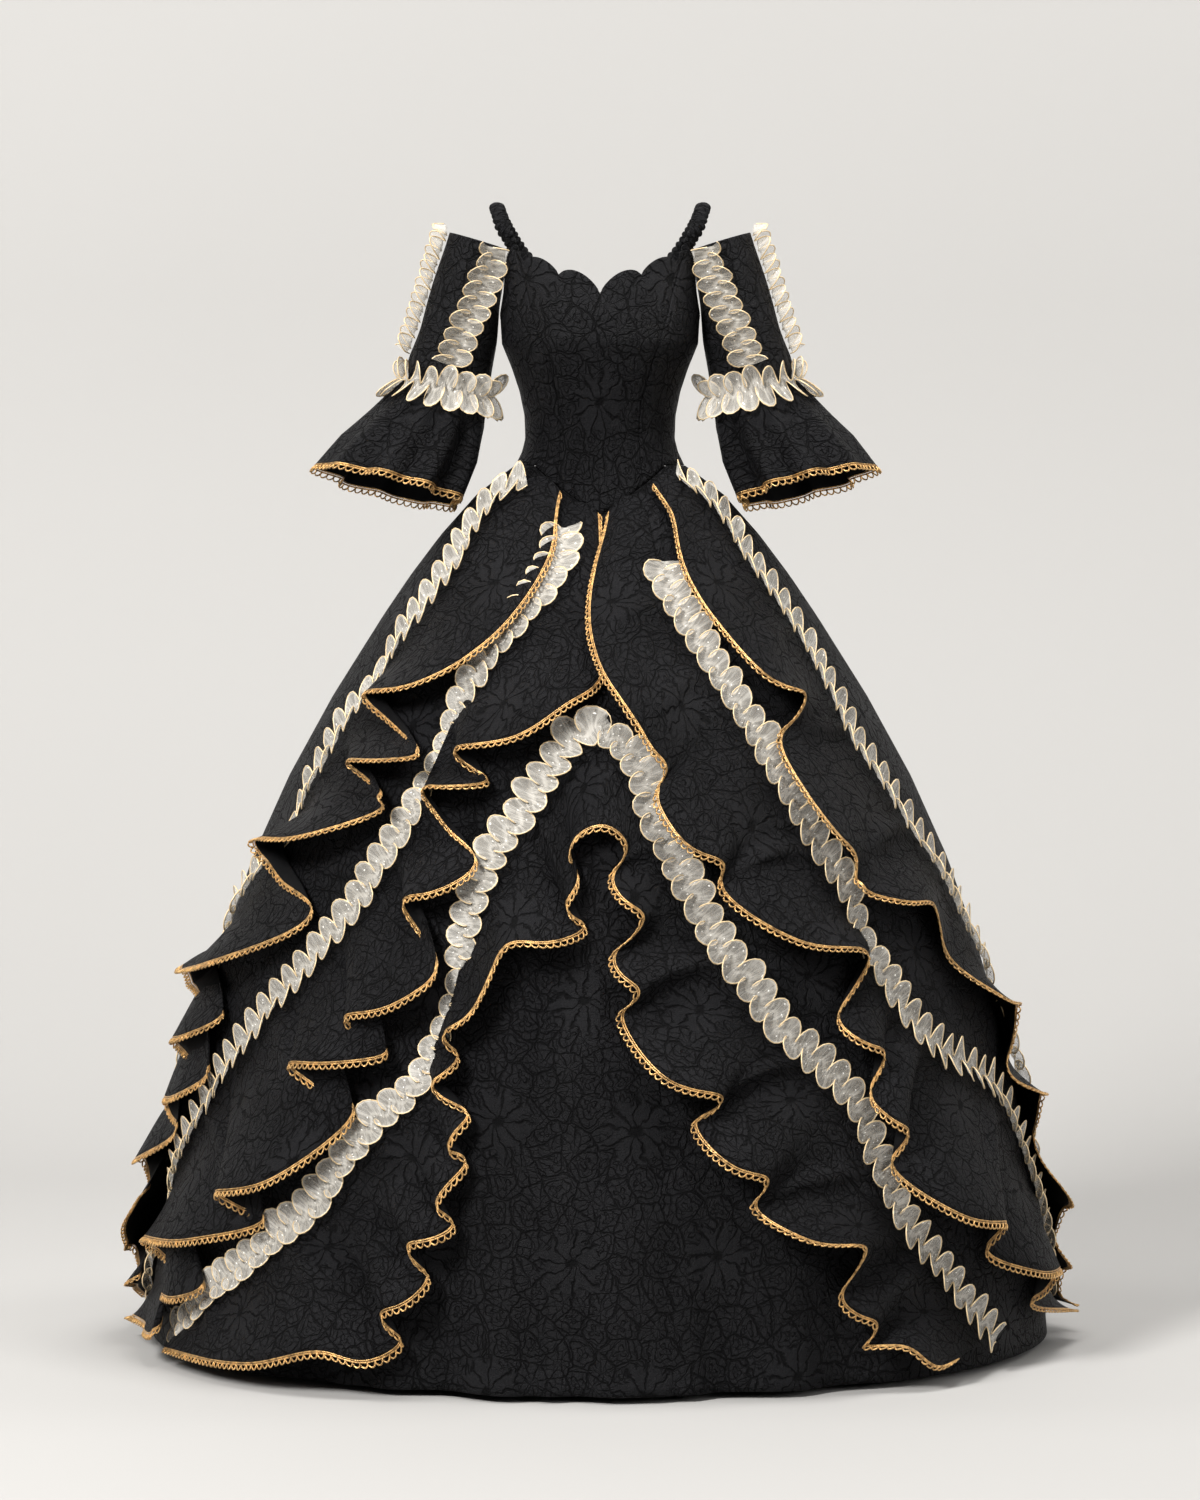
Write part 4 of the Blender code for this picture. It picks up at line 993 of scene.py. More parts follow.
class Graph:
    """Short ways to add and link shader nodes."""

    def __init__(self, tree):
        self.tree = tree

    def node(self, kind, **settings):
        made = self.tree.nodes.new(kind)
        for key, value in settings.items():
            setattr(made, key, value)
        return made

    def put(self, socket, value):
        if hasattr(value, "links"):
            self.tree.links.new(value, socket)
        else:
            socket.default_value = value

    def math(self, operation, one, two=0.0, clamp=False):
        made = self.node("ShaderNodeMath", operation=operation, use_clamp=clamp)
        self.put(made.inputs[0], one)
        self.put(made.inputs[1], two)
        return made.outputs[0]

    def vector(self, operation, one, two=(0.0, 0.0, 0.0), scale=None):
        made = self.node("ShaderNodeVectorMath", operation=operation)
        self.put(made.inputs[0], one)
        if scale is None:
            self.put(made.inputs[1], two)
        else:
            self.put(made.inputs["Scale"], scale)
        return made.outputs["Value"] if operation in ("LENGTH", "DOT_PRODUCT") else made.outputs["Vector"]

    def noise(self, vector, scale, detail=2.0, roughness=0.5, output=0):
        made = self.node("ShaderNodeTexNoise")
        self.put(made.inputs["Vector"], vector)
        made.inputs["Scale"].default_value = scale
        made.inputs["Detail"].default_value = detail
        made.inputs["Roughness"].default_value = roughness
        return made.outputs[output]

    def between(self, value, low, high, new_low=0.0, new_high=1.0):
        made = self.node("ShaderNodeMapRange", interpolation_type="SMOOTHSTEP")
        self.put(made.inputs["Value"], value)
        made.inputs["From Min"].default_value = low
        made.inputs["From Max"].default_value = high
        made.inputs["To Min"].default_value = new_low
        made.inputs["To Max"].default_value = new_high
        return made.outputs["Result"]

    def mixed(self, share, one, two):
        made = self.node("ShaderNodeMix", data_type="RGBA")
        self.put(made.inputs["Factor"], share)
        self.put(made.inputs[6], one)
        self.put(made.inputs[7], two)
        return made.outputs[2]


def woven_relief_group():
    """Raised pattern of a puckered jacquard: roses of nested petals, leaf outlines, large pleated flowers and
    a fine crinkle. Vector is the cloth place in metres."""
    tree, start, end = group(
        "jacquard relief",
        [("Vector", "NodeSocketVector")],
        [("Height", "NodeSocketFloat"), ("Raised", "NodeSocketFloat"), ("Crinkle", "NodeSocketFloat")],
    )
    g = Graph(tree)
    place = start.outputs["Vector"]
    wander = g.vector("SUBTRACT", g.noise(place, 46.0, 3.0, 0.55, 1), (0.5, 0.5, 0.5))
    bent = g.vector("ADD", place, g.vector("SCALE", wander, scale=0.016))
    cells, edge = cell_pair(g, bent, 32.0)
    local = g.vector("SUBTRACT", bent, cells.outputs["Position"])
    parts = g.node("ShaderNodeSeparateXYZ")
    g.put(parts.inputs[0], local)
    angle = g.math("ARCTAN2", parts.outputs["Y"], parts.outputs["X"])
    shade = g.node("ShaderNodeSeparateColor")
    g.put(shade.inputs[0], cells.outputs["Color"])
    turn = g.math("MULTIPLY", shade.outputs["Red"], 6.28)
    petals = g.math("SINE", g.math("ADD", g.math("MULTIPLY", angle, 3.0), turn))
    spread = g.math("MULTIPLY", cells.outputs["Distance"], 3.6)
    nested = g.math("ADD", spread, g.math("MULTIPLY", petals, 0.36))
    nested = g.math("ABSOLUTE", g.math("SUBTRACT", g.math("FRACT", nested), 0.5))
    rose = g.between(nested, 0.02, 0.16)
    veins = g.math("ABSOLUTE", g.math("SINE", g.math("ADD", g.math("MULTIPLY", angle, 4.0), turn)))
    leaf = g.between(veins, 0.04, 0.34)
    choose = g.math("GREATER_THAN", shade.outputs["Green"], 0.42)
    leaf_share = g.math("MULTIPLY", leaf, g.math("SUBTRACT", 1.0, choose))
    figure = g.math("ADD", g.math("MULTIPLY", rose, choose), leaf_share)
    rim = g.between(edge.outputs["Distance"], 0.006, 0.055)
    small = g.math("MULTIPLY", figure, rim)
    fine_edge = cell_pair(g, bent, 95.0)[1]
    small = g.math("MULTIPLY", small, g.between(fine_edge.outputs["Distance"], 0.0, 0.10, 0.50, 1.0))
    row = g.node("ShaderNodeSeparateXYZ")
    g.put(row.inputs[0], g.vector("ADD", place, g.vector("SCALE", wander, scale=0.022)))
    down = g.math("DIVIDE", row.outputs["Y"], FLOWER_DOWN)
    shift = g.math("MULTIPLY", g.math("FLOORED_MODULO", g.math("FLOOR", down), 2.0), 0.5)
    side = g.math("ADD", g.math("DIVIDE", row.outputs["X"], FLOWER_ACROSS), shift)
    x = g.math("MULTIPLY", g.math("SUBTRACT", g.math("FRACT", side), 0.5), FLOWER_ACROSS)
    y = g.math("MULTIPLY", g.math("SUBTRACT", g.math("FRACT", down), 0.5), FLOWER_DOWN)
    radius = g.math("SQRT", g.math("ADD", g.math("MULTIPLY", x, x), g.math("MULTIPLY", y, y)))
    around = g.math("ARCTAN2", y, x)
    wobble = g.math("MULTIPLY", g.noise(place, 40.0, 1.0), 2.2)
    pleats = g.math("COSINE", g.math("ADD", g.math("MULTIPLY", around, 4.5), wobble))
    pleats = g.between(g.math("ABSOLUTE", pleats), 0.04, 0.42)
    reach = g.math("ADD", 0.038, g.math("MULTIPLY", g.math("COSINE", g.math("MULTIPLY", around, 9.0)), 0.006))
    inside = g.between(g.math("SUBTRACT", reach, radius), -0.001, 0.005)
    heart = g.between(radius, 0.004, 0.009)
    big = g.math("MULTIPLY", pleats, heart)
    keep = g.math("SUBTRACT", 1.0, inside)
    both = g.math("ADD", g.math("MULTIPLY", small, keep), g.math("MULTIPLY", big, inside))
    fine = g.noise(place, 330.0, 3.0, 0.6)
    ridged = g.math("ABSOLUTE", g.math("MULTIPLY", g.math("SUBTRACT", fine, 0.5), 5.0))
    ridged = g.math("SUBTRACT", 1.0, ridged, True)
    pucker = g.noise(place, 85.0, 2.0, 0.55)
    height = g.math("ADD", g.math("MULTIPLY", both, 0.70), g.math("MULTIPLY", ridged, 0.20))
    height = g.math("ADD", height, g.math("MULTIPLY", pucker, 0.60))
    g.put(end.inputs["Height"], height)
    g.put(end.inputs["Raised"], both)
    g.put(end.inputs["Crinkle"], ridged)
    return tree


def cell_pair(g, place, scale):
    """The same cells twice: which one a place is in, and how far it is from their borders."""
    made = []
    for feature in ("F1", "DISTANCE_TO_EDGE"):
        cells = g.node("ShaderNodeTexVoronoi", voronoi_dimensions="2D", feature=feature)
        g.put(cells.inputs["Vector"], place)
        cells.inputs["Scale"].default_value = scale
        cells.inputs["Randomness"].default_value = 0.9
        made.append(cells)
    return made


def principled(name):
    look = bpy.data.materials.new(name)
    look.use_nodes = True
    shader = look.node_tree.nodes["Principled BSDF"]
    return look, Graph(look.node_tree), shader


def cloth_place(g):
    return g.node("ShaderNodeUVMap", uv_map="cloth").outputs["UV"]


def jacquard_look(name, relief, ground, raised):
    look, g, shader = principled(name)
    place = cloth_place(g)
    use = g.node("ShaderNodeGroup")
    use.node_tree = relief
    g.put(use.inputs["Vector"], place)
    # The base colour is painted lighter on the raised figure and the crinkle ridges of the relief: a painted
    # highlight on the relief over a near-black ground
    patch = g.noise(place, 9.0, 2.0)
    crinkle = g.math("MULTIPLY", use.outputs["Crinkle"], 0.28)
    share = g.math("ADD", g.math("MULTIPLY", use.outputs["Raised"], 0.72), crinkle)
    share = g.math("MULTIPLY", share, g.between(patch, 0.25, 0.75, 0.65, 1.0), True)
    g.put(shader.inputs["Base Color"], g.mixed(share, (*ground, 1.0), (*raised, 1.0)))
    g.put(shader.inputs["Roughness"], g.between(use.outputs["Raised"], 0.0, 1.0, 0.74, 0.50))
    shader.inputs["Specular IOR Level"].default_value = 0.09
    bump = g.node("ShaderNodeBump")
    bump.inputs["Strength"].default_value = 1.0
    bump.inputs["Distance"].default_value = 0.0055
    g.put(bump.inputs["Height"], use.outputs["Height"])
    g.put(shader.inputs["Normal"], bump.outputs["Normal"])
    return look


def plain_black_look():
    """The reverse of the jacquard: flatter and duller, with the weave's threads."""
    look, g, shader = principled("jacquard reverse")
    place = cloth_place(g)
    soft = g.noise(place, 60.0, 3.0)
    thread = g.noise(g.vector("MULTIPLY", place, (1.0, 0.25, 1.0)), 1600.0, 1.0)
    colour = g.mixed(soft, (0.0022, 0.0022, 0.0025, 1.0), (0.0048, 0.0048, 0.0055, 1.0))
    g.put(shader.inputs["Base Color"], colour)
    shader.inputs["Roughness"].default_value = 0.72
    shader.inputs["Specular IOR Level"].default_value = 0.10
    bump = g.node("ShaderNodeBump")
    bump.inputs["Strength"].default_value = 0.5
    bump.inputs["Distance"].default_value = 0.0012
    g.put(bump.inputs["Height"], g.math("ADD", g.math("MULTIPLY", thread, 0.3), soft))
    g.put(shader.inputs["Normal"], bump.outputs["Normal"])
    return look


def gold_look():
    look, g, shader = principled("gold braid cord")
    place = g.node("ShaderNodeTexCoord").outputs["Object"]
    strand = g.node("ShaderNodeTexWave", wave_type="BANDS", bands_direction="DIAGONAL")
    g.put(strand.inputs["Vector"], place)
    strand.inputs["Scale"].default_value = 260.0
    strand.inputs["Distortion"].default_value = 3.0
    strand.inputs["Detail"].default_value = 1.0
    tone = g.noise(place, 160.0, 2.0)
    colour = g.mixed(g.between(tone, 0.3, 0.7), (0.26, 0.125, 0.035, 1.0), (0.80, 0.47, 0.17, 1.0))
    # Paler gold on the strand bands that also raise the bump: a painted highlight on the twisted strands
    colour = g.mixed(g.math("MULTIPLY", strand.outputs["Fac"], 0.35), colour, (0.98, 0.74, 0.38, 1.0))
    g.put(shader.inputs["Base Color"], colour)
    g.put(shader.inputs["Roughness"], g.between(tone, 0.2, 0.8, 0.30, 0.50))
    shader.inputs["Metallic"].default_value = 0.75
    bump = g.node("ShaderNodeBump")
    bump.inputs["Strength"].default_value = 0.6
    bump.inputs["Distance"].default_value = 0.0006
    g.put(bump.inputs["Height"], strand.outputs["Fac"])
    g.put(shader.inputs["Normal"], bump.outputs["Normal"])
    return look


def organza_look():
    look, g, shader = principled("ivory organza")
    place = cloth_place(g)
    gathers = g.noise(g.vector("MULTIPLY", place, (1.0, 0.10, 1.0)), 330.0, 2.0, 0.6)
    weave = g.noise(place, 2400.0, 0.0)
    parts = g.node("ShaderNodeSeparateXYZ")
    g.put(parts.inputs[0], place)
    off_centre = g.math("ABSOLUTE", parts.outputs["Y"])
    centre = g.between(off_centre, 0.0010, 0.0060, 1.0, 0.0)
    rim = g.between(off_centre, 0.0175, 0.0200)
    dots = g.node("ShaderNodeTexVoronoi", voronoi_dimensions="2D", feature="F1")
    g.put(dots.inputs["Vector"], place)
    dots.inputs["Scale"].default_value = 95.0
    sparkle = g.between(dots.outputs["Distance"], 0.05, 0.11, 1.0, 0.0)
    chosen = g.node("ShaderNodeSeparateColor")
    g.put(chosen.inputs[0], dots.outputs["Color"])
    sparkle = g.math("MULTIPLY", sparkle, g.math("GREATER_THAN", chosen.outputs["Red"], 0.62))
    tone = g.mixed(g.between(gathers, 0.3, 0.7), (0.64, 0.605, 0.545, 1.0), (0.76, 0.73, 0.67, 1.0))
    g.put(shader.inputs["Base Color"], g.mixed(sparkle, tone, (1.0, 0.99, 0.95, 1.0)))
    solid = g.math("ADD", g.between(gathers, 0.35, 0.75, 0.22, 0.40), g.math("MULTIPLY", centre, 0.14))
    solid = g.math("ADD", solid, g.math("MULTIPLY", rim, 0.30))
    solid = g.math("ADD", solid, g.math("MULTIPLY", g.math("SUBTRACT", weave, 0.5), 0.2))
    g.put(shader.inputs["Alpha"], g.math("ADD", solid, sparkle, True))
    shader.inputs["Roughness"].default_value = 0.42
    shader.inputs["Sheen Weight"].default_value = 0.35
    shader.inputs["Sheen Roughness"].default_value = 0.35
    bump = g.node("ShaderNodeBump")
    bump.inputs["Strength"].default_value = 0.55
    bump.inputs["Distance"].default_value = 0.0009
    g.put(bump.inputs["Height"], gathers)
    g.put(shader.inputs["Normal"], bump.outputs["Normal"])
    return look


def wire_look():
    """The fine pale gold edge of the organza."""
    look, g, shader = principled("organza edge")
    place = g.node("ShaderNodeTexCoord").outputs["Object"]
    tone = g.noise(place, 220.0, 2.0)
    g.put(shader.inputs["Base Color"], g.mixed(tone, (0.62, 0.42, 0.19, 1.0), (0.94, 0.79, 0.54, 1.0)))
    shader.inputs["Roughness"].default_value = 0.40
    shader.inputs["Metallic"].default_value = 0.15
    return look


RELIEF = woven_relief_group()
# Near-black ground colour, then the lighter colour of the painted highlight on the raised relief
JACQUARD_LOOK = jacquard_look("black jacquard", RELIEF, (0.0005, 0.0005, 0.0007), (0.0135, 0.0135, 0.0153))
REVERSE_LOOK = plain_black_look()
GOLD_LOOK = gold_look()
ORGANZA_LOOK = organza_look()
WIRE_LOOK = wire_look()
CLOTH_LOOKS = [JACQUARD_LOOK, REVERSE_LOOK]


def rounded(rows):
    """A course along a hem with its sharp turns made round."""
    length = walked(on_skirt(rows))
    even = np.arange(0.0, length[-1], ROUNDING_STEP)
    course = np.stack([np.interp(even, length, rows[:, i]) for i in range(3)], axis=1)
    eased = course.copy()
    for _ in range(ROUNDING_PASSES):
        eased[1:-1] = (eased[:-2] + 2.0 * eased[1:-1] + eased[2:]) / 4.0
    course = course + 0.55 * (course - eased)
    for _ in range(ROUNDING_PASSES):
        course[1:-1] = (course[:-2] + 2.0 * course[1:-1] + course[2:]) / 4.0
    return np.stack([np.interp(length, even, course[:, i]) for i in range(3)], axis=1)


def tier_cloth(ending, coarse, edge_rows, seam_rows, stand_out):
    """Fine grid of a flounce in azimuth, height and stand-out, from the same rows as its solid. coarse holds
    what each of the solid's points was pushed out by."""
    at, knots, lengths = smooth_course(edge_rows, on_skirt)
    stops = [knots[0]]
    for start, end, length in zip(knots, knots[1:], lengths):
        count = max(1, round(length / EDGE_STEP))
        stops += [start + (end - start) * (i + 1) / count for i in range(count)]
    stops = np.array(stops)
    seam = matched_seam(seam_rows, at(stops), stand_out)
    index = np.arange((len(stops) - 1) * FLOUNCE_FINE + 1) / FLOUNCE_FINE
    fine_stops = np.interp(index, np.arange(len(stops)), stops)
    hem = at(fine_stops)
    backs = [LOOP_DROP if row[2] == FOLD_BACK else 0.0 for row in edge_rows]
    hem[:, 1] -= np.interp(fine_stops, knots, backs)
    hem = rounded(hem)
    top = smooth_columns(seam, np.arange(len(stops)), index)
    pushed = smooth_columns(np.swapaxes(coarse, 0, 1), np.arange(len(stops)), index)
    width = np.linalg.norm(on_skirt(hem) - on_skirt(top), axis=1)
    share = np.linspace(0.0, 1.0, FLOUNCE_FALL)[:, None] * (1.0 - BRAID_WIDTH / width)[None]
    radius = smooth_radius(hem[:, 0], hem[:, 1])
    aside = np.abs(np.radians(hem[:, 0] - top[:, 0])) * radius
    over_azimuth = hem[:, 0] + 0.35 * (top[:, 0] - hem[:, 0])
    most = np.maximum(top[:, 1], hem[:, 1]) + 0.004
    over_height = np.minimum(hem[:, 1] + HANG * aside + 0.35 * (top[:, 1] - hem[:, 1]), most)
    s = share
    azimuth = (1 - s) ** 2 * top[:, 0] + 2 * s * (1 - s) * over_azimuth + s**2 * hem[:, 0]
    height = (1 - s) ** 2 * top[:, 1] + 2 * s * (1 - s) * over_height + s**2 * hem[:, 1]
    push = np.empty_like(s)
    for j in range(s.shape[1]):
        push[:, j] = np.interp(s[:, j], [0.0, 0.5, 1.0 - BRAID_WIDTH / width[j], 1.0], pushed[j])
    lift = top[:, 2] + (hem[:, 2] - top[:, 2]) * s**STAND_OUT_POWER
    place = walked(on_skirt(top[:, :2]))
    total = place[-1] * 1000.0
    place = place / place[-1]
    crease = 0.0 * s
    for middle, half_width, depth, deepest, reach in FLOUNCE_CREASES[ending]:
        near = np.exp(-(((place - middle) * total / half_width) ** 2))
        crease = crease + depth * near[None] * np.exp(-(((s - deepest) / reach) ** 2))
    gather = np.sin(place * total / 7.0 + 1.7 * np.sin(place * total / 31.0))
    gather = gather * np.exp(-(((s - 0.10) / 0.11) ** 2))
    fade = np.clip(s / 0.06, 0.0, 1.0)
    return np.stack([azimuth, height, lift + push + fade * (crease + 1.3 * gather)], axis=2), hem, pushed


def flounce_pieces(number, side, seam, edge_rows, layers, waves):
    ending = f"{number}_{side}" if side else f"{number}"
    stand_out, lift = SEWN_ON[ending]
    edge = along(edge_rows, on_skirt, EDGE_STEP)
    plain = flounce_grid(seam, edge, stand_out)
    grid = layers.laid_over(plain)
    fine, hem, pushed = tier_cloth(ending, grid[..., 2] - plain[..., 2], edge_rows, seam, stand_out)
    points = skirt_point(fine[..., 0], fine[..., 1], fine[..., 2])
    down = walked(points)
    run = walked(np.swapaxes(points, 0, 1))[:, int(0.6 * FLOUNCE_FALL)]
    uv = np.stack([np.broadcast_to(run, down.shape), -down], axis=2)
    cloth = shell(f"tier_{ending}_cloth", points, JACQUARD, CLOTH_LOOKS, uv)
    finished(cloth, f"flounce_{ending}")
    line = points[-1]
    inner = points[-1] - points[-3]
    lower = skirt_point(hem[:, 0], hem[:, 1], hem[:, 2] + pushed[:, 3])
    way = lower - line
    way = way / np.maximum(np.linalg.norm(way, axis=1, keepdims=True), 1e-6)
    way = way + inner / np.linalg.norm(inner, axis=1, keepdims=True)
    trim = braid(f"tier_{ending}_braid", f"braid_{ending}", line, way)
    sized_sheet(points, False)
    path, sides = seam_sides(seam, layers)
    layers.add(grid, LAYER_ROWS, LAYER_COLUMNS)
    above = seam_sides(seam, layers)[1]
    seam_ribbon(ending, path, sides, above, lift / 1000.0)
    count = waves * RUCHE_STEPS + 1
    pick = np.linspace(0, SEAM_PLACES - 1, count).astype(int)
    layers.add(np.array([[(a[i], h[i], u[i] + 3.0) for i in pick] for a, h, u in above]), 2, 1)


def seam_sides(seam, layers):
    """The course of a seam, and for its middle and both its sides the azimuth, height and what lies below."""
    at, knots, _ = smooth_course(seam, on_skirt)
    fine = at(np.linspace(0.0, knots[-1], 900))
    run = walked(on_skirt(fine))
    places = np.linspace(0.004, run[-1] - 0.004, SEAM_PLACES)
    path = np.stack([np.interp(places, run, fine[:, i]) for i in range(2)], axis=1)
    radius = smooth_radius(path[:, 0], path[:, 1])
    way = np.gradient(np.stack([np.radians(path[:, 0]) * radius, path[:, 1] * 1.2], axis=1), axis=0)
    way /= np.linalg.norm(way, axis=1, keepdims=True)
    sides = []
    for share in (-1.0, 0.0, 1.0):
        azimuth = path[:, 0] - np.degrees(share * RUCHE_HALF_WIDTH * way[:, 1] / radius)
        height = path[:, 1] + share * RUCHE_HALF_WIDTH * way[:, 0] / 1.2
        height = np.minimum(height, waist_height(azimuth) - 0.004)
        coarse = slice(None, None, SEAM_STEP)
        under = layers.height_of(azimuth[coarse][None], height[coarse][None], RUCHE_FULL, RUCHE_FADE)[0]
        every = np.arange(SEAM_PLACES)
        sides.append((azimuth, height, np.interp(every, every[coarse], under)))
    return path, sides


def seam_ribbon(ending, path, sides, above, lift):
    """The organza over a tier's seam. It lies on the seam, so the loops of its own tier may hang over it."""
    below = np.mean([one[2] for one in sides], axis=0)
    over = np.max([one[2] for one in above], axis=0) - below
    calm = np.clip((over - MOST_COVER) / COVER_FADE, 0.0, 1.0)
    calm = np.convolve(np.pad(calm, 20, mode="edge"), np.ones(41) / 41.0, mode="valid")
    lowest = np.minimum(np.mean([one[2] for one in above], axis=0), below + 9.0)
    spare = 1000.0 * max(lift, 0.0) + 1.0
    lowest = lowest * (1.0 - calm) + (below + 0.5 - spare) * calm
    centre = skirt_point(path[:, 0], path[:, 1], lowest + spare)
    left = skirt_point(sides[0][0], sides[0][1], np.minimum(above[0][2], sides[0][2] + 9.0) + spare)
    right = skirt_point(sides[2][0], sides[2][1], np.minimum(above[2][2], sides[2][2] + 9.0) + spare)
    across = right - left
    across /= np.linalg.norm(across, axis=1, keepdims=True)
    out = np.cross(np.gradient(centre, axis=0), across)
    out /= np.linalg.norm(out, axis=1, keepdims=True)
    if (out * skirt_normals(path)).sum() < 0:
        out = -out
    start = RIBBON_START.get(ending, 0)
    line = centre[start:], across[start:], out[start:]
    seed = sum(map(ord, ending))
    name = f"tier_{ending}_ruche"
    node = f"ruche_{ending}"
    ribbon(name, node, line, RUCHE_HALF_WIDTH, RUCHE_PITCH, RUCHE_RISE, False, seed, calm[start:])


def skirt_cloth(name, node, first, last):
    azimuth = np.linspace(first, last, SKIRT_COLUMNS)
    share = np.linspace(0.0, 1.0, SKIRT_ROWS)[:, None]
    top = waist_height(azimuth) - 3.0 * SEAM_GAP
    height = top + (LOWEST - top) * share
    azimuth = np.broadcast_to(azimuth, height.shape).copy()
    out = -1000.0 * fold_depth(azimuth, height)
    radius = smooth_radius(azimuth, height)
    for one, high, two, low, half_width, depth in SKIRT_CREASES:
        t = np.clip((high - height) / (high - low), 0.0, 1.0)
        middle = one + (two - one) * t
        aside = np.radians(turn_apart(azimuth, middle)) * radius * 1000.0
        wide = half_width * (0.35 + 0.65 * t)
        strength = np.clip((high - height) / 0.15, 0.0, 1.0) * (0.35 + 0.65 * t)
        out = out - SKIRT_CREASE_DEPTH * max(depth, 0.4 * depth) * strength * np.exp(-((aside / wide) ** 2))
    gathers = np.sin(azimuth * 1.9 + 1.1 * np.sin(azimuth * 0.31)) * np.exp(-(((top - height) / 0.10) ** 2))
    out = out + 1.6 * gathers * np.clip((top - height) / 0.012, 0.0, 1.0)
    points = skirt_point(azimuth, height, out)
    gore = np.floor((azimuth[:, :-1] + azimuth[:, 1:]) / 2.0 / GORE_DEGREES)
    middle = (gore + 0.5) * GORE_DEGREES
    start = gore * GORE_WIDTH
    left = start + np.radians(azimuth[:, :-1] - middle) * radius[:, :-1]
    right = start + np.radians(azimuth[:, 1:] - middle) * radius[:, 1:]
    down = -walked(points)
    uv = (np.stack([left, down[:, :-1]], axis=2), np.stack([right, down[:, 1:]], axis=2))
    piece = finished(shell(name, points, JACQUARD, CLOTH_LOOKS, uv), node)
    sized_sheet(points, False)


def neck_height(azimuth):
    away = np.abs(azimuth)
    beyond = np.array(NECK_BEYOND)
    at = np.clip(away, beyond[0, 0], beyond[-1, 0])
    height = smooth_columns(beyond[:, 1:], beyond[:, 0], at)[:, 0]
    for one, low, two, high, rise in SCALLOPS:
        t = (away - one) / (two - one)
        lobe = low + (high - low) * t + rise / 1000.0 * np.clip(4.0 * t * (1.0 - t), 0.0, None) ** 0.7
        height = np.where((away >= one) & (away <= two), lobe, height)
    return height


def bodice_cloth(name, node, low, high, count):
    shares = np.linspace(0.0, 1.0, 49)
    spread = np.linspace(0.0, 1.0, count)
    inset = np.degrees(0.75 * SEAM_GAP / 0.10)
    one = np.array([low(share) for share in shares]) + inset
    two = np.array([high(share) for share in shares]) - inset
    azimuth = one[:, None] + (two - one)[:, None] * spread
    bottom = waist_height(azimuth[0]) + 0.5 * SEAM_GAP
    height = bottom + (neck_height(azimuth[-1]) - bottom) * shares[:, None]
    points = bodice_point(azimuth, height)
    normals = plain_normals(points, False)
    run = walked(np.swapaxes(points, 0, 1)).T
    to_seam = np.minimum(run, run[:, -1:] - run)
    depth = -0.0013 * np.exp(-((to_seam / 0.0028) ** 2))
    depth -= 0.0006 * np.exp(-(((to_seam - 0.0075) / 0.0020) ** 2))
    for middle, level, wide, tall, deep in BODICE_CREASES:
        tilt = 0.0006 * turn_apart(azimuth, middle)
        aside = turn_apart(azimuth, middle) / wide
        near = np.exp(-(aside**2) - ((height - level - tilt) * 1000.0 / tall) ** 2)
        depth -= deep / 1000.0 * near
    edge = (neck_height(azimuth[-1]) - height) * 1000.0
    depth += 0.0007 * np.exp(-((edge / 2.0) ** 2)) - 0.0007 * np.exp(-(((edge - 5.0) / 1.6) ** 2))
    points = points + normals * depth[..., None]
    uv = np.stack([np.radians(azimuth) * 0.118, height], axis=2)
    piece = finished(shell(name, points, JACQUARD, CLOTH_LOOKS, uv), node)
    sized_sheet(points, False)


def bodice_pieces():
    """Panels, columns: node, first edge, last edge, columns of points."""

    def other(share):
        return -princess(share)

    for node, low, high, count in (
        ("bodice_front", other, princess, 81),
        ("bodice_side_front_left", princess, lambda s: 90.0, 45),
        ("bodice_side_front_right", lambda s: -90.0, other, 45),
        ("bodice_back_left", lambda s: 90.0, lambda s: 180.0, 61),
        ("bodice_back_right", lambda s: -180.0, lambda s: -90.0, 61),
    ):
        bodice_cloth(node + "_cloth", node, low, high, count)


def strap_cloth(name, node, side):
    """A tube ruched on a cord: round puffs a few millimetres long, each a little turned."""
    count, around = 230, 28
    at, knots, _ = smooth_course(STRAP_PATH, lambda rows: rows[:, :3])
    path = at(np.linspace(0.0, knots[-1], 400))
    length = walked(path[:, :3])
    even = np.linspace(0.0, length[-1], count)
    path = np.stack([np.interp(even, length, path[:, i]) for i in range(4)], axis=1)
    centre = path[:, :3]
    run = np.gradient(centre, axis=0)
    run /= np.linalg.norm(run, axis=1, keepdims=True)
    turn = np.radians(path[:, 3])
    flat = np.stack([np.cos(turn), np.sin(turn), 0.0 * turn], axis=1)
    across = np.cross(run, np.cross(flat, run))
    across /= np.linalg.norm(across, axis=1, keepdims=True)
    off_body = np.cross(run, across)
    angle = 2.0 * math.pi * np.arange(around) / around
    phase = even[:, None] / 0.0082 * math.pi + 0.55 * np.sin(angle + 2.0 * even[:, None] / 0.03)
    puff = 0.74 + 0.32 * np.abs(np.sin(phase)) ** 0.7 + 0.035 * np.sin(5.0 * angle + even[:, None] / 0.0021)
    rings = (
        centre[:, None]
        + (puff * STRAP_HALF_WIDTH * np.cos(angle))[..., None] * across[:, None]
        + (puff * STRAP_HALF_DEPTH * 1.1 * np.sin(angle))[..., None] * off_body[:, None]
    )
    rings[..., 0] *= side
    u = np.linspace(0.0, STRAP_CUT_WIDTH, around + 1)
    uv = uv_of(u, even * 1.8)
    to_line = rings - np.repeat((centre * np.array([side, 1.0, 1.0]))[:, None], around, axis=1)
    normals = to_line / np.linalg.norm(to_line, axis=2, keepdims=True)
    piece = finished(shell(name, rings, STRAP_CLOTH, CLOTH_LOOKS, uv, True, normals), node)
    sized_sheet(rings, True, STRAP_CUT_WIDTH)


def uv_of(u, v):
    """Cloth places of a grid whose columns lie at u and whose rows lie at v."""
    shape = (len(v), len(u))
    return np.stack([np.broadcast_to(u, shape), np.broadcast_to(v[:, None], shape)], axis=2)


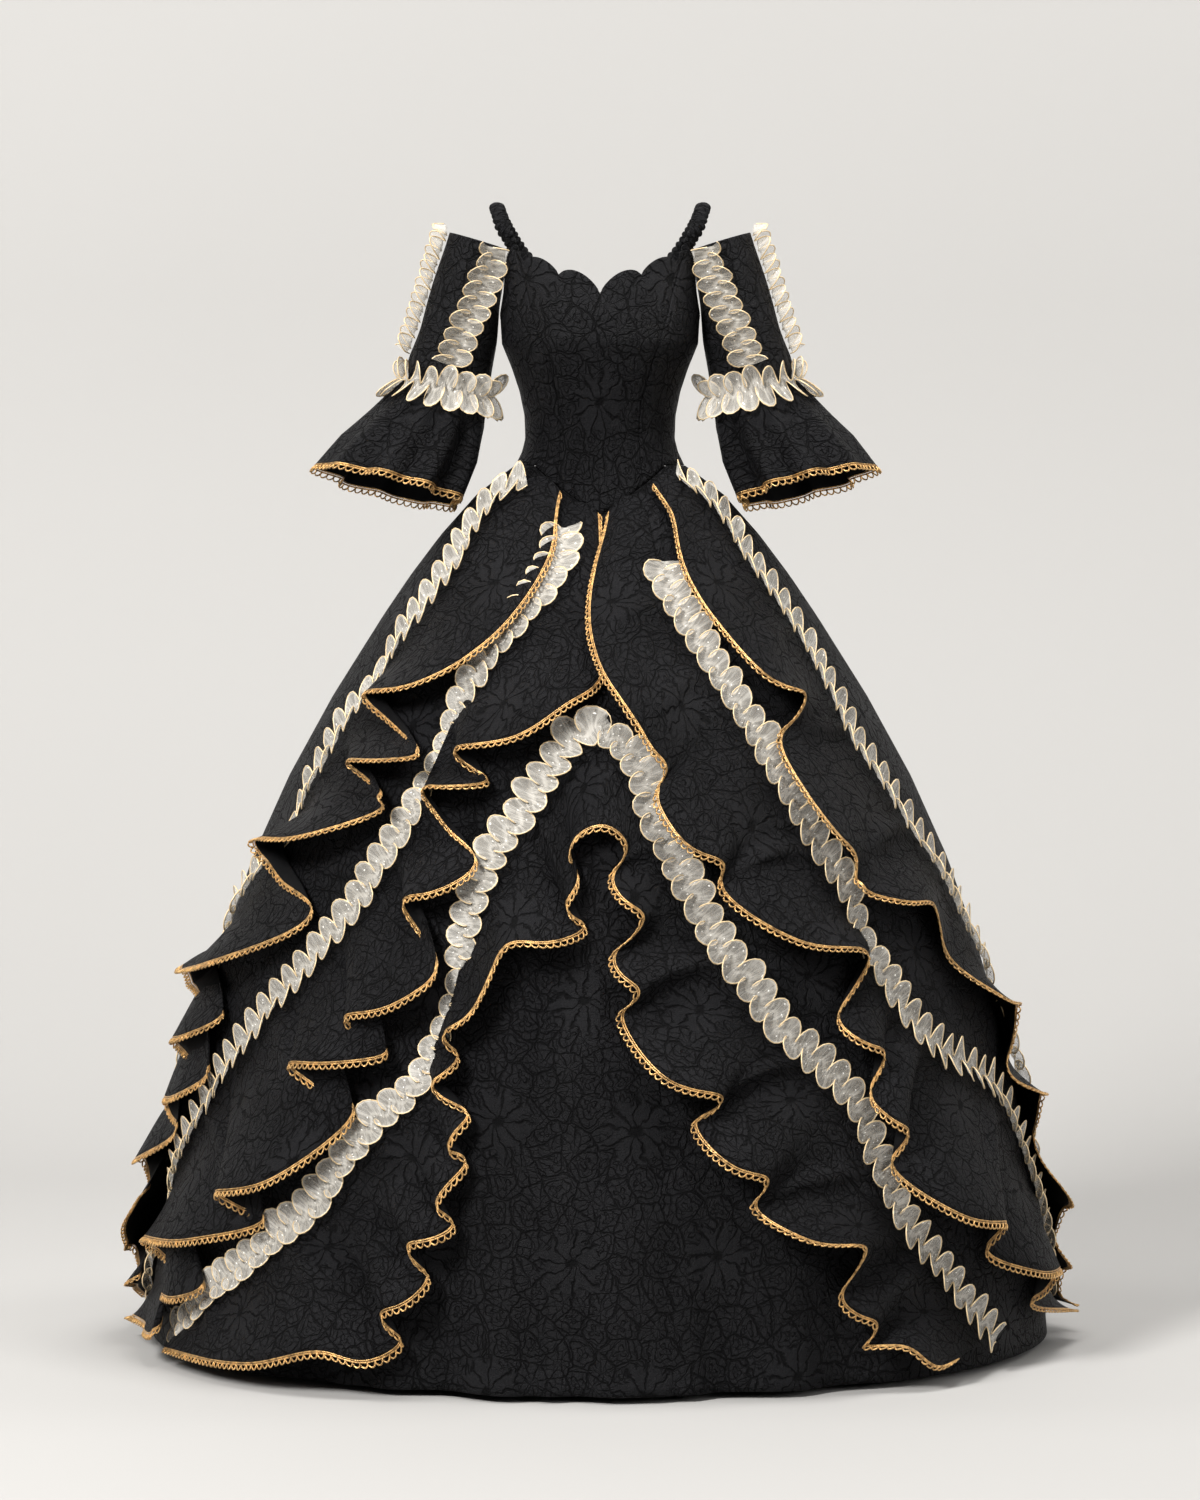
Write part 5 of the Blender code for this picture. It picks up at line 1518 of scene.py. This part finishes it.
def round_waves(angle, count, lean, lean_count):
    """Waves round a sleeve, count of them, crowded and spread by slower ones."""
    turn = np.radians(angle)
    return np.sin(turn * count + lean * np.sin(turn * lean_count))


def sleeve_cloths(side):
    angle = np.linspace(-180.0, 180.0, SLEEVE_AROUND + 1)[:-1]
    top, low = SLEEVE_SECTIONS[0][0], SLEEVE_SECTIONS[-1][0]
    heights = np.linspace(top, low, SLEEVE_ROWS)
    puckers = []
    for h in heights:
        share = (top - h) / (top - low)
        out = 1.4 * round_waves(angle, 14.0, 1.3, 3.0) * math.exp(-(((1.0 - share) / 0.22) ** 2))
        out = out + 1.2 * np.sin(np.radians(angle) * 3.0 + 9.0 * share) * math.sin(math.pi * share)
        puckers.append(limb_point(side, angle, h, out))
    points = np.array(puckers)
    uv = uv_of(np.linspace(-0.15, 0.15, SLEEVE_AROUND + 1), heights)
    tube = shell(f"sleeve_{side}_cloth", points, JACQUARD, CLOTH_LOOKS, uv, True)
    finished(tube, f"sleeve_{side}")
    sized_sheet(points, True)
    angle = np.linspace(-180.0, 180.0, BELL_AROUND + 1)[:-1]
    start, end = low - 3 * SEAM_GAP, BELL_SECTIONS[-1][0]
    heights = np.linspace(start, end, BELL_ROWS)
    rows = []
    for h in heights:
        share = (start - h) / (start - end)
        fullness = 7.5 * round_waves(angle, 9.0, 1.6, 2.0) * share * (1.0 - 0.55 * share)
        gather = 2.4 * round_waves(angle, 24.0, 2.0, 5.0) * math.exp(-((share / 0.20) ** 2))
        rows.append(limb_point(side, angle, h, fullness + gather))
    bell = np.array(rows)
    inward = bell[-2] - bell[-1]
    line = bell[-1] + inward / np.linalg.norm(inward, axis=1, keepdims=True) * BRAID_WIDTH
    shares = np.linspace(0.0, 1.0, BELL_ROWS)[:, None, None]
    bell = bell + (line - bell[-1])[None] * shares**3
    uv = uv_of(np.linspace(-0.24, 0.24, BELL_AROUND + 1), heights)
    cloth = shell(f"sleeve_bell_{side}_cloth", bell, JACQUARD, CLOTH_LOOKS, uv, True)
    finished(cloth, f"sleeve_bell_{side}")
    trim = braid(f"sleeve_bell_{side}_braid", f"sleeve_braid_{side}", bell[-1], -inward, True)
    sized_sheet(bell, True)
    sleeve_ribbons(side)


def sleeve_ribbons(side):
    def frame_of(centre, left, right):
        across = right - left
        across /= np.linalg.norm(across, axis=1, keepdims=True)
        run = np.gradient(centre, axis=0)
        out = np.cross(run, across)
        out /= np.linalg.norm(out, axis=1, keepdims=True)
        return across, out

    for name, path, seed in (("front", SLEEVE_FRONT_STRIP, 3), ("outer", SLEEVE_OUTER_STRIP, 8)):
        at, knots, _ = smooth_course(path, lambda rows: limb_point(side, rows[:, 0], rows[:, 1], 0.0))
        angle, height = at(np.linspace(0.0, knots[-1], 160)).T
        lift = 1000.0 * STRIP_LIFT + 0.8
        spread = np.degrees(STRIP_HALF_WIDTH / 0.048)
        centre = limb_point(side, angle, height, lift)
        left = limb_point(side, angle - 0.4 * spread, height, lift)
        right = limb_point(side, angle + 0.4 * spread, height, lift)
        across, out = frame_of(centre, left, right)
        if ((limb_point(side, angle, height, lift + 5.0) - centre) * out).sum() < 0:
            out = -out
        piece = f"sleeve_{side}_ruche_{name}"
        node = f"sleeve_ruche_{name}_{side}"
        line = centre, across, out
        ribbon(piece, node, line, STRIP_HALF_WIDTH, STRIP_PITCH, STRIP_RISE, False, seed)
    angle = np.linspace(-180.0, 180.0, 241)[:-1]
    level = ELBOW_BAND_HEIGHT
    centre = limb_point(side, angle, level, 5.0)
    left = limb_point(side, angle, level - 0.006, 5.0)
    right = limb_point(side, angle, level + 0.006, 5.0)
    across = right - left
    across /= np.linalg.norm(across, axis=1, keepdims=True)
    out = limb_point(side, angle, level, 12.0) - centre
    out /= np.linalg.norm(out, axis=1, keepdims=True)
    piece = f"sleeve_{side}_ruche_band"
    node = f"sleeve_ruche_band_{side}"
    line = centre, across, out
    ribbon(piece, node, line, BAND_HALF_WIDTH, BAND_PITCH, BAND_RISE, True, 5)


def tiers():
    layers = Layers()
    right = edge_points(EDGE_3_RIGHT, EDGE_3_TOP)[1:]
    left = edge_points(EDGE_3_LEFT, EDGE_3_TOP)
    flounce_pieces(3, "", SEAM_3_RIGHT[:0:-1] + SEAM_3_LEFT, right[::-1] + left, layers, 25)
    for number, side, seam, table in (
        (2, "right", SEAM_2_RIGHT, EDGE_2_RIGHT),
        (2, "left", SEAM_2_LEFT, EDGE_2_LEFT),
        (1, "right", SEAM_1_RIGHT, EDGE_1_RIGHT),
        (1, "left", SEAM_1_LEFT, EDGE_1_LEFT),
    ):
        flounce_pieces(number, side, seam, edge_points(table), layers, 13)


def studio():
    """Pale floor that rises into the backdrop and is clear from behind, large soft lamps, and the camera."""
    profile = [(-9.0, 0.0), (1.6, 0.0)]
    profile += [(1.6 + 1.4 * math.sin(a), 1.4 - 1.4 * math.cos(a)) for a in np.radians(np.arange(6, 91, 6))]
    profile += [(3.0, 7.0)]
    points = [(x, y, z - WAIST_HEIGHT - 0.002) for x in (-7.0, 7.0) for y, z in profile]
    count = len(profile)
    faces = [(i, i + count, i + count + 1, i + 1) for i in range(count - 1)]
    mesh = bpy.data.meshes.new("studio_floor")
    mesh.from_pydata(points, [], faces)
    mesh.polygons.foreach_set("use_smooth", [True] * len(faces))
    floor = bpy.data.objects.new("studio_floor", mesh)
    bpy.context.scene.collection.objects.link(floor)
    look, g, shader = principled("pale floor")
    tone = g.noise(g.node("ShaderNodeTexCoord").outputs["Object"], 0.8, 2.0)
    g.put(shader.inputs["Base Color"], g.mixed(tone, (0.425, 0.419, 0.411, 1.0), (0.445, 0.439, 0.431, 1.0)))
    shader.inputs["Roughness"].default_value = 0.75
    behind = g.node("ShaderNodeNewGeometry").outputs["Backfacing"]
    g.put(shader.inputs["Alpha"], g.math("SUBTRACT", 1.0, behind))
    mesh.materials.append(look)
    world = bpy.data.worlds.new("studio")
    world.use_nodes = True
    world.node_tree.nodes["Background"].inputs["Color"].default_value = (1.0, 0.985, 0.965, 1.0)
    world.node_tree.nodes["Background"].inputs["Strength"].default_value = WORLD_LIGHT
    bpy.context.scene.world = world
    for name, place, aim, size, power in LIGHTS:
        light = bpy.data.lights.new(name, "AREA")
        light.shape = "RECTANGLE"
        light.size, light.size_y = size
        light.energy = power
        light.color = LAMP_COLOUR
        lamp = bpy.data.objects.new(name, light)
        lamp.location = place
        way = np.array(aim, float) - np.array(place, float)
        flat = math.hypot(way[0], way[1])
        lamp.rotation_euler = (math.atan2(flat, -way[2]), 0.0, math.atan2(-way[0], way[1]))
        bpy.context.scene.collection.objects.link(lamp)
    camera = bpy.data.cameras.new("camera")
    camera.sensor_width = 36.0
    camera.lens = CAMERA_LENS
    eye = bpy.data.objects.new("camera", camera)
    eye.location = (0.0, -7.0, -0.05)
    eye.rotation_euler = (math.radians(90.0) - math.atan(255.0 / 5600.0), 0.0, 0.0)
    bpy.context.scene.collection.objects.link(eye)
    bpy.context.scene.camera = eye
    bpy.context.scene.view_settings.view_transform = "Standard"


studio()
skirt_cloth("skirt_front_cloth", "skirt_front", -90.0, 90.0)
skirt_cloth("skirt_back_cloth", "skirt_back", 90.0, 270.0)
bodice_pieces()
strap_cloth("strap_left_cloth", "strap_left", 1.0)
strap_cloth("strap_right_cloth", "strap_right", -1.0)
sleeve_cloths("left")
sleeve_cloths("right")
tiers()
